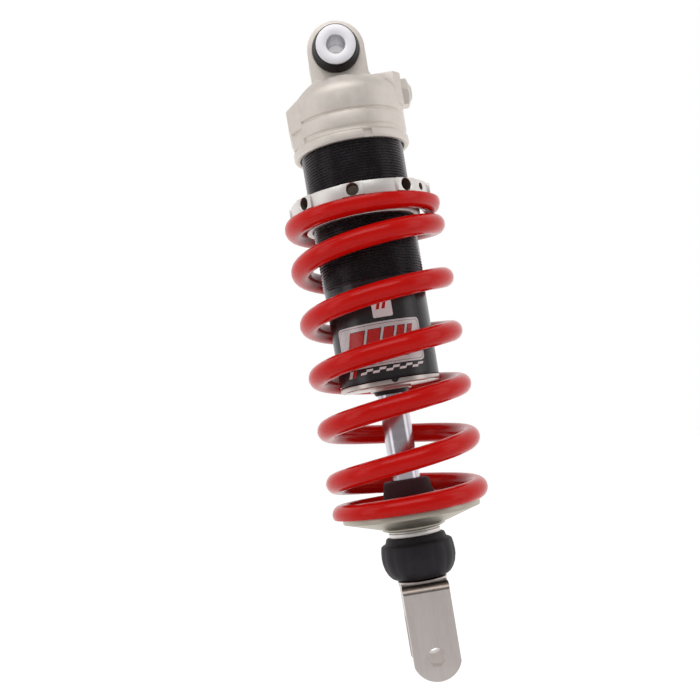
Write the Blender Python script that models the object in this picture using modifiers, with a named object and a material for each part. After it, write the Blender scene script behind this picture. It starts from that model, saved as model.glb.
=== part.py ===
"""Rear shock absorber of a motorcycle: a coil spring over a single-tube gas damper.

The upper eye centre is the origin and the damper axis is Z, pointing from the clevis up to the eye.
Both mounting bolts lie along Y. The upper parts are placed from the eye and the lower ones from the
clevis hole, so the rod, the tube and the spring take up a change of length between them.
"""

import math

import bmesh
import bpy

MM = 0.001

# Overall sizes
EYE_TO_CLEVIS = 330 * MM
STROKE = 47.5 * MM
TUBE_THREAD_RADIUS = 28 * MM
TUBE_BORE_RADIUS = 23 * MM
ROD_RADIUS = 8 * MM
BOLT_RADIUS = 5 * MM
WIRE_RADIUS = 5.5 * MM
COIL_CLEARANCE = 4.1 * MM
COIL_SWELL = 0.8 * MM
SPRING_END_RADIUS = TUBE_THREAD_RADIUS + COIL_CLEARANCE + WIRE_RADIUS
SPRING_RADIUS = SPRING_END_RADIUS + COIL_SWELL
SPRING_TURNS = 6.72
CLOSED_TURNS = 0.5
RAMP_TURNS = 0.45
GROUND_DEPTH = 1.1 * MM

# Clearances
GAP = 0.3 * MM
SEAL_GAP = 0.25 * MM
COIL_GAP = 0.7 * MM

# Head
LUG_RADIUS = 15.5 * MM
LUG_HALF_WIDTH = 12.3 * MM
LUG_FILLET = 4 * MM
EYE_WALL = 3.2 * MM
HEAD_RADIUS = TUBE_THREAD_RADIUS + 3.5 * MM
HEAD_LIP = 0.3 * MM
HEAD_TOP = -17 * MM
HEAD_RIM = -28.5 * MM
HEAD_CROWN_RADIUS = 17.5 * MM
HEAD_BOTTOM = -54.3 * MM
HEAD_SOCKET_DEPTH = 8.6 * MM
HEAD_SPIGOT_DEPTH = 12.3 * MM
HEAD_GROOVE_DEPTH = 0.6 * MM
UPPER_GROOVE_RISE = 14.9 * MM
UPPER_GROOVE_WIDTH = 1.3 * MM
LIP_RISE = 4.1 * MM
LIP_BEVEL = 1 * MM
LOWER_GROOVE_TOP = 7.8 * MM
SPIGOT_GROOVE_RISE = 5.4 * MM
FLAT_HALF_WIDTH = 10 * MM
SHOULDER_HALF_WIDTH = 19 * MM
RIGHT_FLAT = HEAD_RADIUS + 0.4 * MM
RIGHT_FLAT_BOTTOM = -34 * MM
LEFT_FLAT = HEAD_RADIUS - 0.5 * MM
LEFT_FLAT_BOTTOM = -50 * MM
LEFT_PAD_RADIUS = 6.5 * MM
LEFT_PAD_HEIGHT = 1.1 * MM
LEFT_PAD_Z = -31.6 * MM
SLOPE_TOP = -19 * MM
SLOPE_BOTTOM = -30.5 * MM
PORT_Z = -25.7 * MM
PORT_RADIUS = 5 * MM
PORT_DEPTH = 10 * MM
CORE_RADIUS = 2.6 * MM
CORE_LENGTH = 11 * MM
PLUG_HALF_FLATS = 7 * MM
PLUG_HEX_HEIGHT = 3.2 * MM
PLUG_DOME_HEIGHT = 2.4 * MM
WASHER_RADIUS = 6.6 * MM
WASHER_THICKNESS = 0.7 * MM

# Upper bearing, along Y
BALL_RADIUS = 9 * MM
BALL_HALF_WIDTH = 5 * MM
RACE_HALF_WIDTH = 5.5 * MM
CIRCLIP_THICKNESS = 1.2 * MM
CIRCLIP_GROOVE = 1 * MM
SPACER_SHANK = BOLT_RADIUS + 2 * MM
SPACER_FLANGE = 10.7 * MM
SPACER_FLANGE_THICKNESS = 3.5 * MM
SPACER_FACE = 19.8 * MM
SEAL_RADIUS = 12.7 * MM
SEAL_LIP_RADIUS = 11.7 * MM
SEAL_FACE = 19 * MM

# Preload ring
RING_TOP = -78.5 * MM
RING_HEIGHT = 7.2 * MM
RING_RADIUS = SPRING_END_RADIUS + 1.2 * MM
RING_PAD_RISE = 0.8 * MM
RING_PAD_WIDTH = 12 * MM
RING_PADS = 8
RING_TURNED = math.radians(-97)
TOMMY_RADIUS = 3.25 * MM
TOMMY_DEPTH = 7 * MM
LOCK_SCREW_RADIUS = 1.7 * MM
LOCK_SCREW_LENGTH = 7 * MM
LOCK_SCREW_ANGLE = math.radians(-32)
THREAD_RUNNING_GAP = 0.4 * MM
SPIGOT_GAP = 0.6 * MM
SPIGOT_DEPTH = 8.3 * MM
THRUST_WASHER_THICKNESS = 0.6 * MM

# Tube
THREAD_BOTTOM = -127.3 * MM
TUBE_STEP = 0.6 * MM
END_CAP_THICKNESS = 2.9 * MM
END_BOSS_HEIGHT = 1.7 * MM
END_BOSS_WALL = 1.2 * MM
WIPER_WALL = 1.6 * MM
WIPER_PROUD = 2.2 * MM
SEAL_HEAD_HEIGHT = 22 * MM
BUSH_HEIGHT = 9.4 * MM
BUSH_WALL = 1.7 * MM
ROD_SEAL_HEIGHT = 5.4 * MM
ROD_SEAL_WALL = 2.7 * MM
O_RING_RADIUS = 0.8 * MM
GROOVE_DEPTH = 1.8 * MM
GROOVE_WIDTH = 2.6 * MM
TOP_OUT_HEIGHT = 3.3 * MM
TOP_OUT_WALL = 6 * MM

# Piston and floating piston
SHANK_RADIUS = 5 * MM
PISTON_HEIGHT = 9 * MM
PISTON_BAND_HEIGHT = 5 * MM
PISTON_PORTS = 6
PORT_HOLE_RADIUS = 2 * MM
PORT_CIRCLE = 14 * MM
SHIM_STACK = 1.8 * MM
SHIM_RADIUS = 17 * MM
SHIM_SMALL_RADIUS = 10 * MM
NUT_HALF_FLATS = 7 * MM
NUT_HEIGHT = 7 * MM
FLOATING_TOP = -67 * MM
FLOATING_HEIGHT = 10 * MM
FLOATING_WALL = 3 * MM

# Lower end, from the clevis hole up
TANG_HALF_WIDTH = 12.65 * MM
CLEVIS_HALF_DEPTH = 20 * MM
TANG_THICKNESS = 7.8 * MM
TANG_END_RADIUS = 13.3 * MM
SLOT_HEIGHT = 22 * MM
SHOULDER_HEIGHT = 37 * MM
SHOULDER_BEVEL = 4 * MM
NECK_HEIGHT = 3.7 * MM
NECK_RADIUS = 13.6 * MM
STEM_WALL = 1.6 * MM
KNOB_HEIGHT = 23 * MM
KNOB_WAIST = 16.3 * MM
KNOB_SHOULDER = 19.8 * MM
KNOB_RADIUS = 20.4 * MM
KNOB_FOOT = 16 * MM
SEAT_COLLAR_RADIUS = 14.3 * MM
SEAT_COLLAR_HEIGHT = 3.2 * MM
SEAT_RADIUS = SPRING_END_RADIUS + 0.4 * MM
SEAT_RIM = 3.1 * MM
SEAT_CONE = 7.4 * MM
SEAT_FOOT_RADIUS = 17 * MM
SEAT_SPIGOT = 2.5 * MM
SEAT_LIP = 0.6 * MM
BUMP_FOOT_RADIUS = 15.2 * MM
BUMP_TOP_RADIUS = 12.7 * MM
BUMP_HEIGHT = 14.4 * MM
BUMP_WASHER_THICKNESS = 1 * MM
NEEDLE_RADIUS = 1.9 * MM
NEEDLE_TOP_SPACE = 10 * MM

LARGE_STEPS = 32
SMALL_STEPS = 12
HOLE_STEPS = 14
COIL_STEPS = 18

# Heights that follow from the sizes above
EYE_BORE = LUG_RADIUS - EYE_WALL
SOCKET_TOP = HEAD_BOTTOM + HEAD_SOCKET_DEPTH
SPIGOT_BOTTOM = SOCKET_TOP - HEAD_SPIGOT_DEPTH
SPRING_TOP = RING_TOP - RING_HEIGHT - THRUST_WASHER_THICKNESS - 2 * GAP
CLEVIS_HOLE = -EYE_TO_CLEVIS
CLEVIS_SHOULDER = CLEVIS_HOLE + SHOULDER_HEIGHT
KNOB_BOTTOM = CLEVIS_SHOULDER + NECK_HEIGHT + GAP
KNOB_TOP = KNOB_BOTTOM + KNOB_HEIGHT
SEAT_COLLAR_BOTTOM = KNOB_TOP + GAP
SEAT_BOTTOM = SEAT_COLLAR_BOTTOM + SEAT_COLLAR_HEIGHT + GAP
SEAT_TOP = SEAT_BOTTOM + SEAT_LIP + SEAT_CONE + SEAT_RIM
SPRING_BOTTOM = SEAT_TOP + GAP
BUMP_WASHER_BOTTOM = SEAT_TOP + GAP
BUMP_BOTTOM = BUMP_WASHER_BOTTOM + BUMP_WASHER_THICKNESS + GAP
BUMP_TOP = BUMP_BOTTOM + BUMP_HEIGHT
WIPER_BOTTOM = BUMP_TOP + STROKE
BOSS_BOTTOM = WIPER_BOTTOM + WIPER_PROUD
END_CAP_BOTTOM = BOSS_BOTTOM + END_BOSS_HEIGHT
END_CAP_TOP = END_CAP_BOTTOM + END_CAP_THICKNESS
TUBE_BOTTOM = END_CAP_TOP + GAP
TUBE_TOP = SOCKET_TOP - GAP
SEAL_HEAD_BOTTOM = END_CAP_TOP + GAP
SEAL_HEAD_TOP = SEAL_HEAD_BOTTOM + SEAL_HEAD_HEIGHT
TOP_OUT_BOTTOM = SEAL_HEAD_TOP + GAP
ROD_SHOULDER = TOP_OUT_BOTTOM + TOP_OUT_HEIGHT + 2 * MM
REBOUND_SHIMS_BOTTOM = ROD_SHOULDER + GAP
PISTON_BOTTOM = REBOUND_SHIMS_BOTTOM + SHIM_STACK + GAP
PISTON_TOP = PISTON_BOTTOM + PISTON_HEIGHT
COMPRESSION_SHIMS_BOTTOM = PISTON_TOP + GAP
NUT_BOTTOM = COMPRESSION_SHIMS_BOTTOM + SHIM_STACK + GAP
ROD_TOP = NUT_BOTTOM + NUT_HEIGHT + 1 * MM
STEM_BORE = ROD_RADIUS + GAP
STEM_RADIUS = STEM_BORE + STEM_WALL
STEM_TOP = KNOB_TOP - GAP
ROD_BOTTOM = CLEVIS_SHOULDER + 8 * MM
NEEDLE_BORE = NEEDLE_RADIUS + GAP
NEEDLE_BORE_TOP = ROD_SHOULDER - NEEDLE_TOP_SPACE
INNER_RADIUS = TUBE_BORE_RADIUS - 0.4 * MM


def clear_scene():
    for thing in list(bpy.data.objects):
        bpy.data.objects.remove(thing)


def new_collection(name):
    made = bpy.data.collections.new(name)
    bpy.context.scene.collection.children.link(made)
    return made


def finish(name, red, green, blue, roughness, metallic):
    """A plain Principled material in linear colour."""
    made = bpy.data.materials.new(name)
    made.use_nodes = True
    shader = made.node_tree.nodes["Principled BSDF"]
    shader.inputs["Base Color"].default_value = (red, green, blue, 1)
    shader.inputs["Roughness"].default_value = roughness
    shader.inputs["Metallic"].default_value = metallic
    return made


clear_scene()
PARTS = new_collection("rear_shock_absorber")
CUTTERS = new_collection("cutters")


def keep_part(piece, material, parent=None):
    PARTS.objects.link(piece)
    piece.data.materials.append(material)
    piece.data.shade_smooth()
    piece.data.set_sharp_from_angle(angle=math.radians(30))
    piece.parent = parent
    return piece


def keep_cutter(piece):
    CUTTERS.objects.link(piece)
    piece.hide_render = True
    piece.display_type = "WIRE"
    return piece


AXIS_TURN = {"X": (0, math.pi / 2, 0), "Y": (-math.pi / 2, 0, 0), "Z": (0, 0, 0)}


def turned(name, outline, steps=LARGE_STEPS, axis="Z", location=(0, 0, 0)):
    """A turned shape: outline is (radius, height) points, down the outer side and up the bore."""
    mesh = bpy.data.meshes.new(name)
    form = bmesh.new()
    points = [form.verts.new((radius, 0, height)) for radius, height in outline]
    for first, second in zip(points, points[1:]):
        form.edges.new((first, second))
    if outline[0][0] > 0:
        form.edges.new((points[-1], points[0]))
    form.to_mesh(mesh)
    form.free()
    piece = bpy.data.objects.new(name, mesh)
    screw = piece.modifiers.new("turn", "SCREW")
    screw.steps = screw.render_steps = steps
    screw.use_merge_vertices = True
    screw.merge_threshold = 1e-6
    screw.use_smooth_shade = True
    piece.rotation_euler = AXIS_TURN[axis]
    piece.location = location
    return piece


def ring_outline(outer, bore, top, bottom):
    return [(outer, top), (outer, bottom), (bore, bottom), (bore, top)]


def rod_outline(radius, top, bottom):
    return [(0, top), (radius, top), (radius, bottom), (0, bottom)]


def arc(centre, radius, start, end, count):
    """Points along an arc, angles in degrees, both ends included."""
    turn = [math.radians(start + (end - start) * i / count) for i in range(count + 1)]
    return [(centre[0] + radius * math.cos(a), centre[1] + radius * math.sin(a)) for a in turn]


def slab(name, outline, low, high, upright=True):
    """A flat outline with thickness: in X and Z along Y when upright, else in X and Y along Z."""
    curve = bpy.data.curves.new(name, "CURVE")
    curve.dimensions = "2D"
    curve.fill_mode = "BOTH"
    curve.extrude = (high - low) / 2
    line = curve.splines.new("POLY")
    line.points.add(len(outline) - 1)
    for point, (across, up) in zip(line.points, outline):
        point.co = (across, up, 0, 1)
    line.use_cyclic_u = True
    drawn = bpy.data.objects.new(name, curve)
    PARTS.objects.link(drawn)
    bpy.context.view_layer.update()
    seen = drawn.evaluated_get(bpy.context.evaluated_depsgraph_get())
    mesh = bpy.data.meshes.new_from_object(seen)
    weld(mesh)
    bpy.data.objects.remove(drawn)
    piece = bpy.data.objects.new(name, mesh)
    middle = (high + low) / 2
    piece.location = (0, middle, 0) if upright else (0, 0, middle)
    piece.rotation_euler = (math.pi / 2 if upright else 0, 0, 0)
    return piece


def weld(mesh):
    form = bmesh.new()
    form.from_mesh(mesh)
    bmesh.ops.remove_doubles(form, verts=form.verts, dist=1e-6)
    bmesh.ops.recalc_face_normals(form, faces=form.faces)
    form.to_mesh(mesh)
    form.free()


def box(name, size, location, turn=0.0):
    mesh = bpy.data.meshes.new(name)
    form = bmesh.new()
    bmesh.ops.create_cube(form, size=1)
    bmesh.ops.scale(form, vec=size, verts=form.verts)
    form.to_mesh(mesh)
    form.free()
    piece = bpy.data.objects.new(name, mesh)
    piece.location = location
    piece.rotation_euler = (0, 0, turn)
    return piece


def hexagon(name, half_flats, low, high, axis="Z", location=(0, 0, 0)):
    mesh = bpy.data.meshes.new(name)
    form = bmesh.new()
    corner = half_flats / math.cos(math.pi / 6)
    bmesh.ops.create_cone(form, cap_ends=True, segments=6, radius1=corner, radius2=corner, depth=high - low)
    bmesh.ops.translate(form, vec=(0, 0, (high + low) / 2), verts=form.verts)
    form.to_mesh(mesh)
    form.free()
    piece = bpy.data.objects.new(name, mesh)
    piece.rotation_euler = AXIS_TURN[axis]
    piece.location = location
    return piece


def boolean(piece, other, operation="DIFFERENCE"):
    keep_cutter(other)
    step = piece.modifiers.new(other.name, "BOOLEAN")
    step.operation = operation
    step.object = other
    step.solver = "EXACT"


def o_ring(name, groove_top, tube_bore, material, parent=None):
    """A rubber ring that fills a groove in a piece that seals against tube_bore."""
    middle = groove_top - GROOVE_WIDTH / 2
    circle = arc((tube_bore - SEAL_GAP - O_RING_RADIUS, middle), O_RING_RADIUS, 0, -360, 6)[:-1]
    return keep_part(turned(name, circle, SMALL_STEPS * 2), material, parent)


def grooved_outline(outer, bore, top, bottom, groove_top):
    """A ring with one square groove in its outer side."""
    floor = outer - GROOVE_DEPTH
    groove_bottom = groove_top - GROOVE_WIDTH
    outer_side = [(outer, top), (outer, groove_top), (floor, groove_top), (floor, groove_bottom)]
    return outer_side + [(outer, groove_bottom), (outer, bottom), (bore, bottom), (bore, top)]


# Head


def head_core():
    """The turned body of the head: domed crown, two grooves, lower lip, socket and sealing spigot."""
    rise = HEAD_TOP - HEAD_RIM
    reach = HEAD_RADIUS - HEAD_CROWN_RADIUS
    crown = [
        (HEAD_CROWN_RADIUS + reach * x, HEAD_RIM + rise * z)
        for x, z in arc((0, 0), 1, 90, 0, 4)
    ]
    groove = HEAD_RADIUS - HEAD_GROOVE_DEPTH
    half = HEAD_GROOVE_DEPTH / 2
    upper = HEAD_BOTTOM + UPPER_GROOVE_RISE
    lower = HEAD_BOTTOM + LOWER_GROOVE_TOP
    lip = HEAD_RADIUS + HEAD_LIP
    lip_top = HEAD_BOTTOM + LIP_RISE
    side = [
        (HEAD_RADIUS, upper + UPPER_GROOVE_WIDTH),
        (groove, upper + UPPER_GROOVE_WIDTH - half),
        (groove, upper + half),
        (HEAD_RADIUS, upper),
        (HEAD_RADIUS, lower),
        (groove, lower - half),
        (groove, lip_top + HEAD_GROOVE_DEPTH + HEAD_LIP),
        (lip, lip_top),
        (lip, HEAD_BOTTOM + LIP_BEVEL),
        (lip - LIP_BEVEL, HEAD_BOTTOM),
    ]
    return turned("top_mount_head", [(0, HEAD_TOP)] + crown + side + [(0, HEAD_BOTTOM)])


def sealing_spigot():
    """The boss inside the socket that closes the tube's bore, with its O-ring groove."""
    groove_top = SPIGOT_BOTTOM + SPIGOT_GROOVE_RISE
    floor = INNER_RADIUS - GROOVE_DEPTH
    outline = [
        (0, SOCKET_TOP + 2 * MM),
        (INNER_RADIUS, SOCKET_TOP + 2 * MM),
        (INNER_RADIUS, groove_top),
        (floor, groove_top),
        (floor, groove_top - GROOVE_WIDTH),
        (INNER_RADIUS, groove_top - GROOVE_WIDTH),
        (INNER_RADIUS, SPIGOT_BOTTOM),
        (0, SPIGOT_BOTTOM),
    ]
    return turned("sealing_spigot", outline)


def lug_plate():
    """The upright plate that holds the eye, with a fillet into the shoulder on the right."""
    root = HEAD_RIM - 2 * MM
    centre = (LUG_RADIUS + LUG_FILLET, HEAD_TOP + LUG_FILLET - 0.4 * MM)
    fillet = arc(centre, LUG_FILLET, 180, 270, 3)
    outline = arc((0, 0), LUG_RADIUS, 180, 0, 16) + fillet
    outline += [(LUG_RADIUS + LUG_FILLET, root), (-LUG_RADIUS, root)]
    return slab("lug_plate", outline, -LUG_HALF_WIDTH, LUG_HALF_WIDTH)


def side_flat(name, reach, bottom, side):
    """A milled flat on one side of the head. Its facets run on to the round of the body."""
    tangent = HEAD_RADIUS * math.cos(math.asin(SHOULDER_HALF_WIDTH / HEAD_RADIUS))
    plan = [
        (0, -SHOULDER_HALF_WIDTH),
        (tangent, -SHOULDER_HALF_WIDTH),
        (reach, -FLAT_HALF_WIDTH),
        (reach, FLAT_HALF_WIDTH),
        (tangent, SHOULDER_HALF_WIDTH),
        (0, SHOULDER_HALF_WIDTH),
    ]
    plan = [(side * across, back) for across, back in plan]
    return slab(name, plan, bottom, HEAD_TOP - 0.2 * MM, upright=False)


def slope_cutter():
    """The wedge above the shoulder that slopes from the lug down to the left flat."""
    far = 2 * HEAD_RADIUS
    fall = (SLOPE_TOP - SLOPE_BOTTOM) / (LEFT_FLAT - LUG_RADIUS)
    low = SLOPE_TOP - fall * (far - LUG_RADIUS)
    near = -LUG_RADIUS + 2 * MM
    outline = [(near, SLOPE_TOP + fall * 2 * MM), (-far, low), (-far, 0), (near, 0)]
    return slab("shoulder_slope", outline, -far, far)


def bearing_bore():
    """The bore through the lug, with the two circlip grooves."""
    outer = EYE_BORE + CIRCLIP_GROOVE
    near = RACE_HALF_WIDTH + GAP
    far = near + CIRCLIP_THICKNESS + 2 * GAP
    end = LUG_HALF_WIDTH + 2 * MM
    side = [(0, end), (EYE_BORE, end), (EYE_BORE, far), (outer, far), (outer, near), (EYE_BORE, near)]
    lower = [(radius, -height) for radius, height in reversed(side)]
    return turned("bearing_bore", side + lower, SMALL_STEPS * 2, axis="Y")


def port_bore():
    """The stepped gas port in the right flat, along X."""
    counter = RIGHT_FLAT - WASHER_THICKNESS
    seat = RIGHT_FLAT - PORT_DEPTH
    end = seat - CORE_LENGTH - 1 * MM
    outline = [
        (0, RIGHT_FLAT + 3 * MM),
        (WASHER_RADIUS + GAP, RIGHT_FLAT + 3 * MM),
        (WASHER_RADIUS + GAP, counter),
        (PORT_RADIUS, counter),
        (PORT_RADIUS, seat),
        (CORE_RADIUS + GAP, seat),
        (CORE_RADIUS + GAP, end),
        (0, end),
    ]
    return turned("port_bore", outline, HOLE_STEPS, axis="X", location=(0, 0, PORT_Z))


def gas_passage():
    """The hole from the gas port down to the gas chamber."""
    across = RIGHT_FLAT - PORT_DEPTH - CORE_LENGTH / 2
    outline = rod_outline(1.5 * MM, PORT_Z, SPIGOT_BOTTOM - 2 * MM)
    return turned("gas_passage", outline, 8, location=(across, 0, 0))


def build_head(metal):
    head = keep_part(head_core(), metal)
    boolean(head, side_flat("right_flat", RIGHT_FLAT, RIGHT_FLAT_BOTTOM, 1), "UNION")
    boolean(head, side_flat("left_flat", LEFT_FLAT, LEFT_FLAT_BOTTOM, -1), "UNION")
    boolean(head, slope_cutter())
    boolean(head, lug_plate(), "UNION")
    pad = rod_outline(LEFT_PAD_RADIUS, LEFT_FLAT + LEFT_PAD_HEIGHT, LEFT_FLAT - 5 * MM)
    pad = [(radius, -height) for radius, height in reversed(pad)]
    boolean(head, turned("left_pad", pad, HOLE_STEPS, "X", (0, 0, LEFT_PAD_Z)), "UNION")
    socket = rod_outline(TUBE_THREAD_RADIUS + GAP, SOCKET_TOP, HEAD_BOTTOM - 5 * MM)
    boolean(head, turned("tube_socket", socket))
    boolean(head, sealing_spigot(), "UNION")
    boolean(head, bearing_bore())
    boolean(head, port_bore())
    boolean(head, gas_passage())


def build_gas_port(metal, brass):
    washer_face = RIGHT_FLAT
    hex_low = washer_face + GAP
    hex_high = hex_low + PLUG_HEX_HEIGHT
    place = (0, 0, PORT_Z)
    washer = ring_outline(WASHER_RADIUS, PORT_RADIUS, washer_face, washer_face - WASHER_THICKNESS + GAP)
    keep_part(turned("gas_port_washer", washer, SMALL_STEPS, "X", place), brass)
    plug = keep_part(hexagon("gas_port_plug", PLUG_HALF_FLATS, hex_low, hex_high, "X", place), metal)
    foot = RIGHT_FLAT - PORT_DEPTH + GAP
    top = hex_high + PLUG_DOME_HEIGHT
    dome = [(0, top), (3.4 * MM, top), (5.8 * MM, hex_high + 0.9 * MM), (PLUG_HALF_FLATS - 0.6 * MM, hex_high)]
    shank = [
        (PLUG_HALF_FLATS - 0.6 * MM, hex_low + 1 * MM),
        (PORT_RADIUS - GAP, hex_low + 1 * MM),
        (PORT_RADIUS - GAP, foot),
        (0, foot),
    ]
    boolean(plug, turned("plug_body", dome + shank, SMALL_STEPS, "X", place), "UNION")
    core_top = foot - 2 * GAP
    core = rod_outline(CORE_RADIUS, core_top, core_top - CORE_LENGTH)
    keep_part(turned("gas_valve_core", core, SMALL_STEPS, "X", place), brass)


def build_eye(steel, race_steel, rubber, parent):
    """The spherical bearing, its circlips, and the spacers and seals on both sides."""
    race_outer = EYE_BORE - GAP
    inner = BALL_RADIUS + SEAL_GAP
    open_angle = math.degrees(math.asin(RACE_HALF_WIDTH / inner))
    seat = arc((0, 0), inner, -open_angle, open_angle, 6)
    race = [(race_outer, RACE_HALF_WIDTH), (race_outer, -RACE_HALF_WIDTH)] + seat
    keep_part(turned("eye_bearing_race", race, SMALL_STEPS * 2, "Y"), race_steel)
    ball_angle = math.degrees(math.asin(BALL_HALF_WIDTH / BALL_RADIUS))
    ball = arc((0, 0), BALL_RADIUS, ball_angle, -ball_angle, 6)
    ball += [(BOLT_RADIUS, -BALL_HALF_WIDTH), (BOLT_RADIUS, BALL_HALF_WIDTH)]
    keep_part(turned("eye_bearing_ball", ball, SMALL_STEPS * 2, "Y"), race_steel, parent)
    clip_near = RACE_HALF_WIDTH + 2 * GAP
    clip = ring_outline(EYE_BORE + CIRCLIP_GROOVE - GAP, race_outer - 2 * MM, clip_near + CIRCLIP_THICKNESS, clip_near)
    flange_back = SPACER_FACE - SPACER_FLANGE_THICKNESS
    spacer = [
        (SPACER_FLANGE - 0.5 * MM, SPACER_FACE),
        (SPACER_FLANGE, SPACER_FACE - 0.5 * MM),
        (SPACER_FLANGE, flange_back),
        (SPACER_SHANK, flange_back),
        (SPACER_SHANK, BALL_HALF_WIDTH + GAP),
        (BOLT_RADIUS, BALL_HALF_WIDTH + GAP),
        (BOLT_RADIUS, SPACER_FACE),
    ]
    seal = [
        (SEAL_LIP_RADIUS, SEAL_FACE),
        (SEAL_RADIUS, SEAL_FACE - 3 * MM),
        (SEAL_RADIUS, LUG_HALF_WIDTH + 1.2 * MM),
        (SEAL_LIP_RADIUS, LUG_HALF_WIDTH + GAP),
        (SPACER_SHANK + GAP, LUG_HALF_WIDTH + GAP),
        (SPACER_SHANK + GAP, flange_back - GAP),
        (SPACER_FLANGE + GAP, flange_back - GAP),
        (SPACER_FLANGE + GAP, SEAL_FACE),
    ]
    for side, sign in (("front", -1), ("rear", 1)):
        for name, outline, material, owner in (
            ("bearing_circlip", clip, race_steel, None),
            ("eye_spacer", spacer, steel, parent),
            ("eye_seal", seal, rubber, parent),
        ):
            facing = outline
            if sign < 0:
                facing = [(radius, -height) for radius, height in reversed(outline)]
            keep_part(turned(f"{name}_{side}", facing, SMALL_STEPS * 2, "Y"), material, owner)


# Tube and what it holds


def build_tube(black, silver, rubber, bronze):
    smooth = TUBE_THREAD_RADIUS - TUBE_STEP
    tube = [
        (TUBE_THREAD_RADIUS, TUBE_TOP),
        (TUBE_THREAD_RADIUS, THREAD_BOTTOM),
        (smooth, THREAD_BOTTOM - TUBE_STEP),
        (smooth, TUBE_BOTTOM),
        (TUBE_BORE_RADIUS, TUBE_BOTTOM),
        (TUBE_BORE_RADIUS, TUBE_TOP),
    ]
    keep_part(turned("damper_body", tube), black)
    o_ring("head_o_ring", SPIGOT_BOTTOM + SPIGOT_GROOVE_RISE, TUBE_BORE_RADIUS, rubber)
    running = ROD_RADIUS + GAP
    recess = running + WIPER_WALL + GAP
    boss = recess + END_BOSS_WALL
    cap = [
        (smooth - 0.4 * MM, END_CAP_TOP),
        (smooth, END_CAP_TOP - 0.4 * MM),
        (smooth, END_CAP_BOTTOM + 0.6 * MM),
        (smooth - 0.6 * MM, END_CAP_BOTTOM),
        (boss, END_CAP_BOTTOM),
        (boss, BOSS_BOTTOM),
        (recess, BOSS_BOTTOM),
        (recess, END_CAP_TOP - 1.2 * MM),
        (running, END_CAP_TOP - 1.2 * MM),
        (running, END_CAP_TOP),
    ]
    keep_part(turned("body_end_cap", cap), silver)
    wiper_top = END_CAP_TOP - 1.2 * MM - GAP
    wiper = [
        (recess - GAP, wiper_top),
        (recess - GAP, BOSS_BOTTOM),
        (running + 0.6 * MM, WIPER_BOTTOM),
        (running, WIPER_BOTTOM),
        (running, wiper_top),
    ]
    keep_part(turned("dust_wiper", wiper, SMALL_STEPS * 2), rubber)
    build_seal_head(silver, rubber, bronze, running)


def build_seal_head(silver, rubber, bronze, running):
    bush_bore = running + BUSH_WALL + GAP
    seal_bore = running + ROD_SEAL_WALL + GAP
    bush_floor = SEAL_HEAD_TOP - BUSH_HEIGHT - 2 * GAP
    seal_roof = SEAL_HEAD_BOTTOM + ROD_SEAL_HEIGHT + 2 * GAP
    groove_top = SEAL_HEAD_BOTTOM + SEAL_HEAD_HEIGHT / 2
    outer = grooved_outline(INNER_RADIUS, seal_bore, SEAL_HEAD_TOP, SEAL_HEAD_BOTTOM, groove_top)[:-1]
    inside = [
        (seal_bore, seal_roof),
        (running, seal_roof),
        (running, bush_floor),
        (bush_bore, bush_floor),
        (bush_bore, SEAL_HEAD_TOP),
    ]
    keep_part(turned("seal_head", outer + inside, SMALL_STEPS * 2), silver)
    o_ring("seal_head_o_ring", groove_top, TUBE_BORE_RADIUS, rubber)
    bush = ring_outline(bush_bore - GAP, running, SEAL_HEAD_TOP - GAP, bush_floor + GAP)
    keep_part(turned("guide_bush", bush, SMALL_STEPS * 2), bronze)
    seal = ring_outline(seal_bore - GAP, running, seal_roof - GAP, SEAL_HEAD_BOTTOM + GAP)
    keep_part(turned("rod_seal", seal, SMALL_STEPS * 2), rubber)
    bumper = ring_outline(running + TOP_OUT_WALL, running, TOP_OUT_BOTTOM + TOP_OUT_HEIGHT, TOP_OUT_BOTTOM)
    keep_part(turned("top_out_bumper", bumper, SMALL_STEPS * 2), rubber)


def build_floating_piston(metal, rubber, parent):
    """A cup, open towards the gas, that separates it from the oil."""
    bottom = FLOATING_TOP - FLOATING_HEIGHT
    groove_top = FLOATING_TOP - FLOATING_HEIGHT / 2 + GROOVE_WIDTH / 2
    cup = INNER_RADIUS - GROOVE_DEPTH - FLOATING_WALL
    outer = grooved_outline(INNER_RADIUS, cup, FLOATING_TOP, bottom, groove_top)[:-2]
    inside = [(0, bottom), (0, bottom + FLOATING_WALL), (cup, bottom + FLOATING_WALL), (cup, FLOATING_TOP)]
    outline = inside[1:] + outer + [inside[0]]
    keep_part(turned("floating_piston", outline, SMALL_STEPS * 2), metal, parent)
    o_ring("floating_piston_o_ring", groove_top, TUBE_BORE_RADIUS, rubber, parent)


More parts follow.
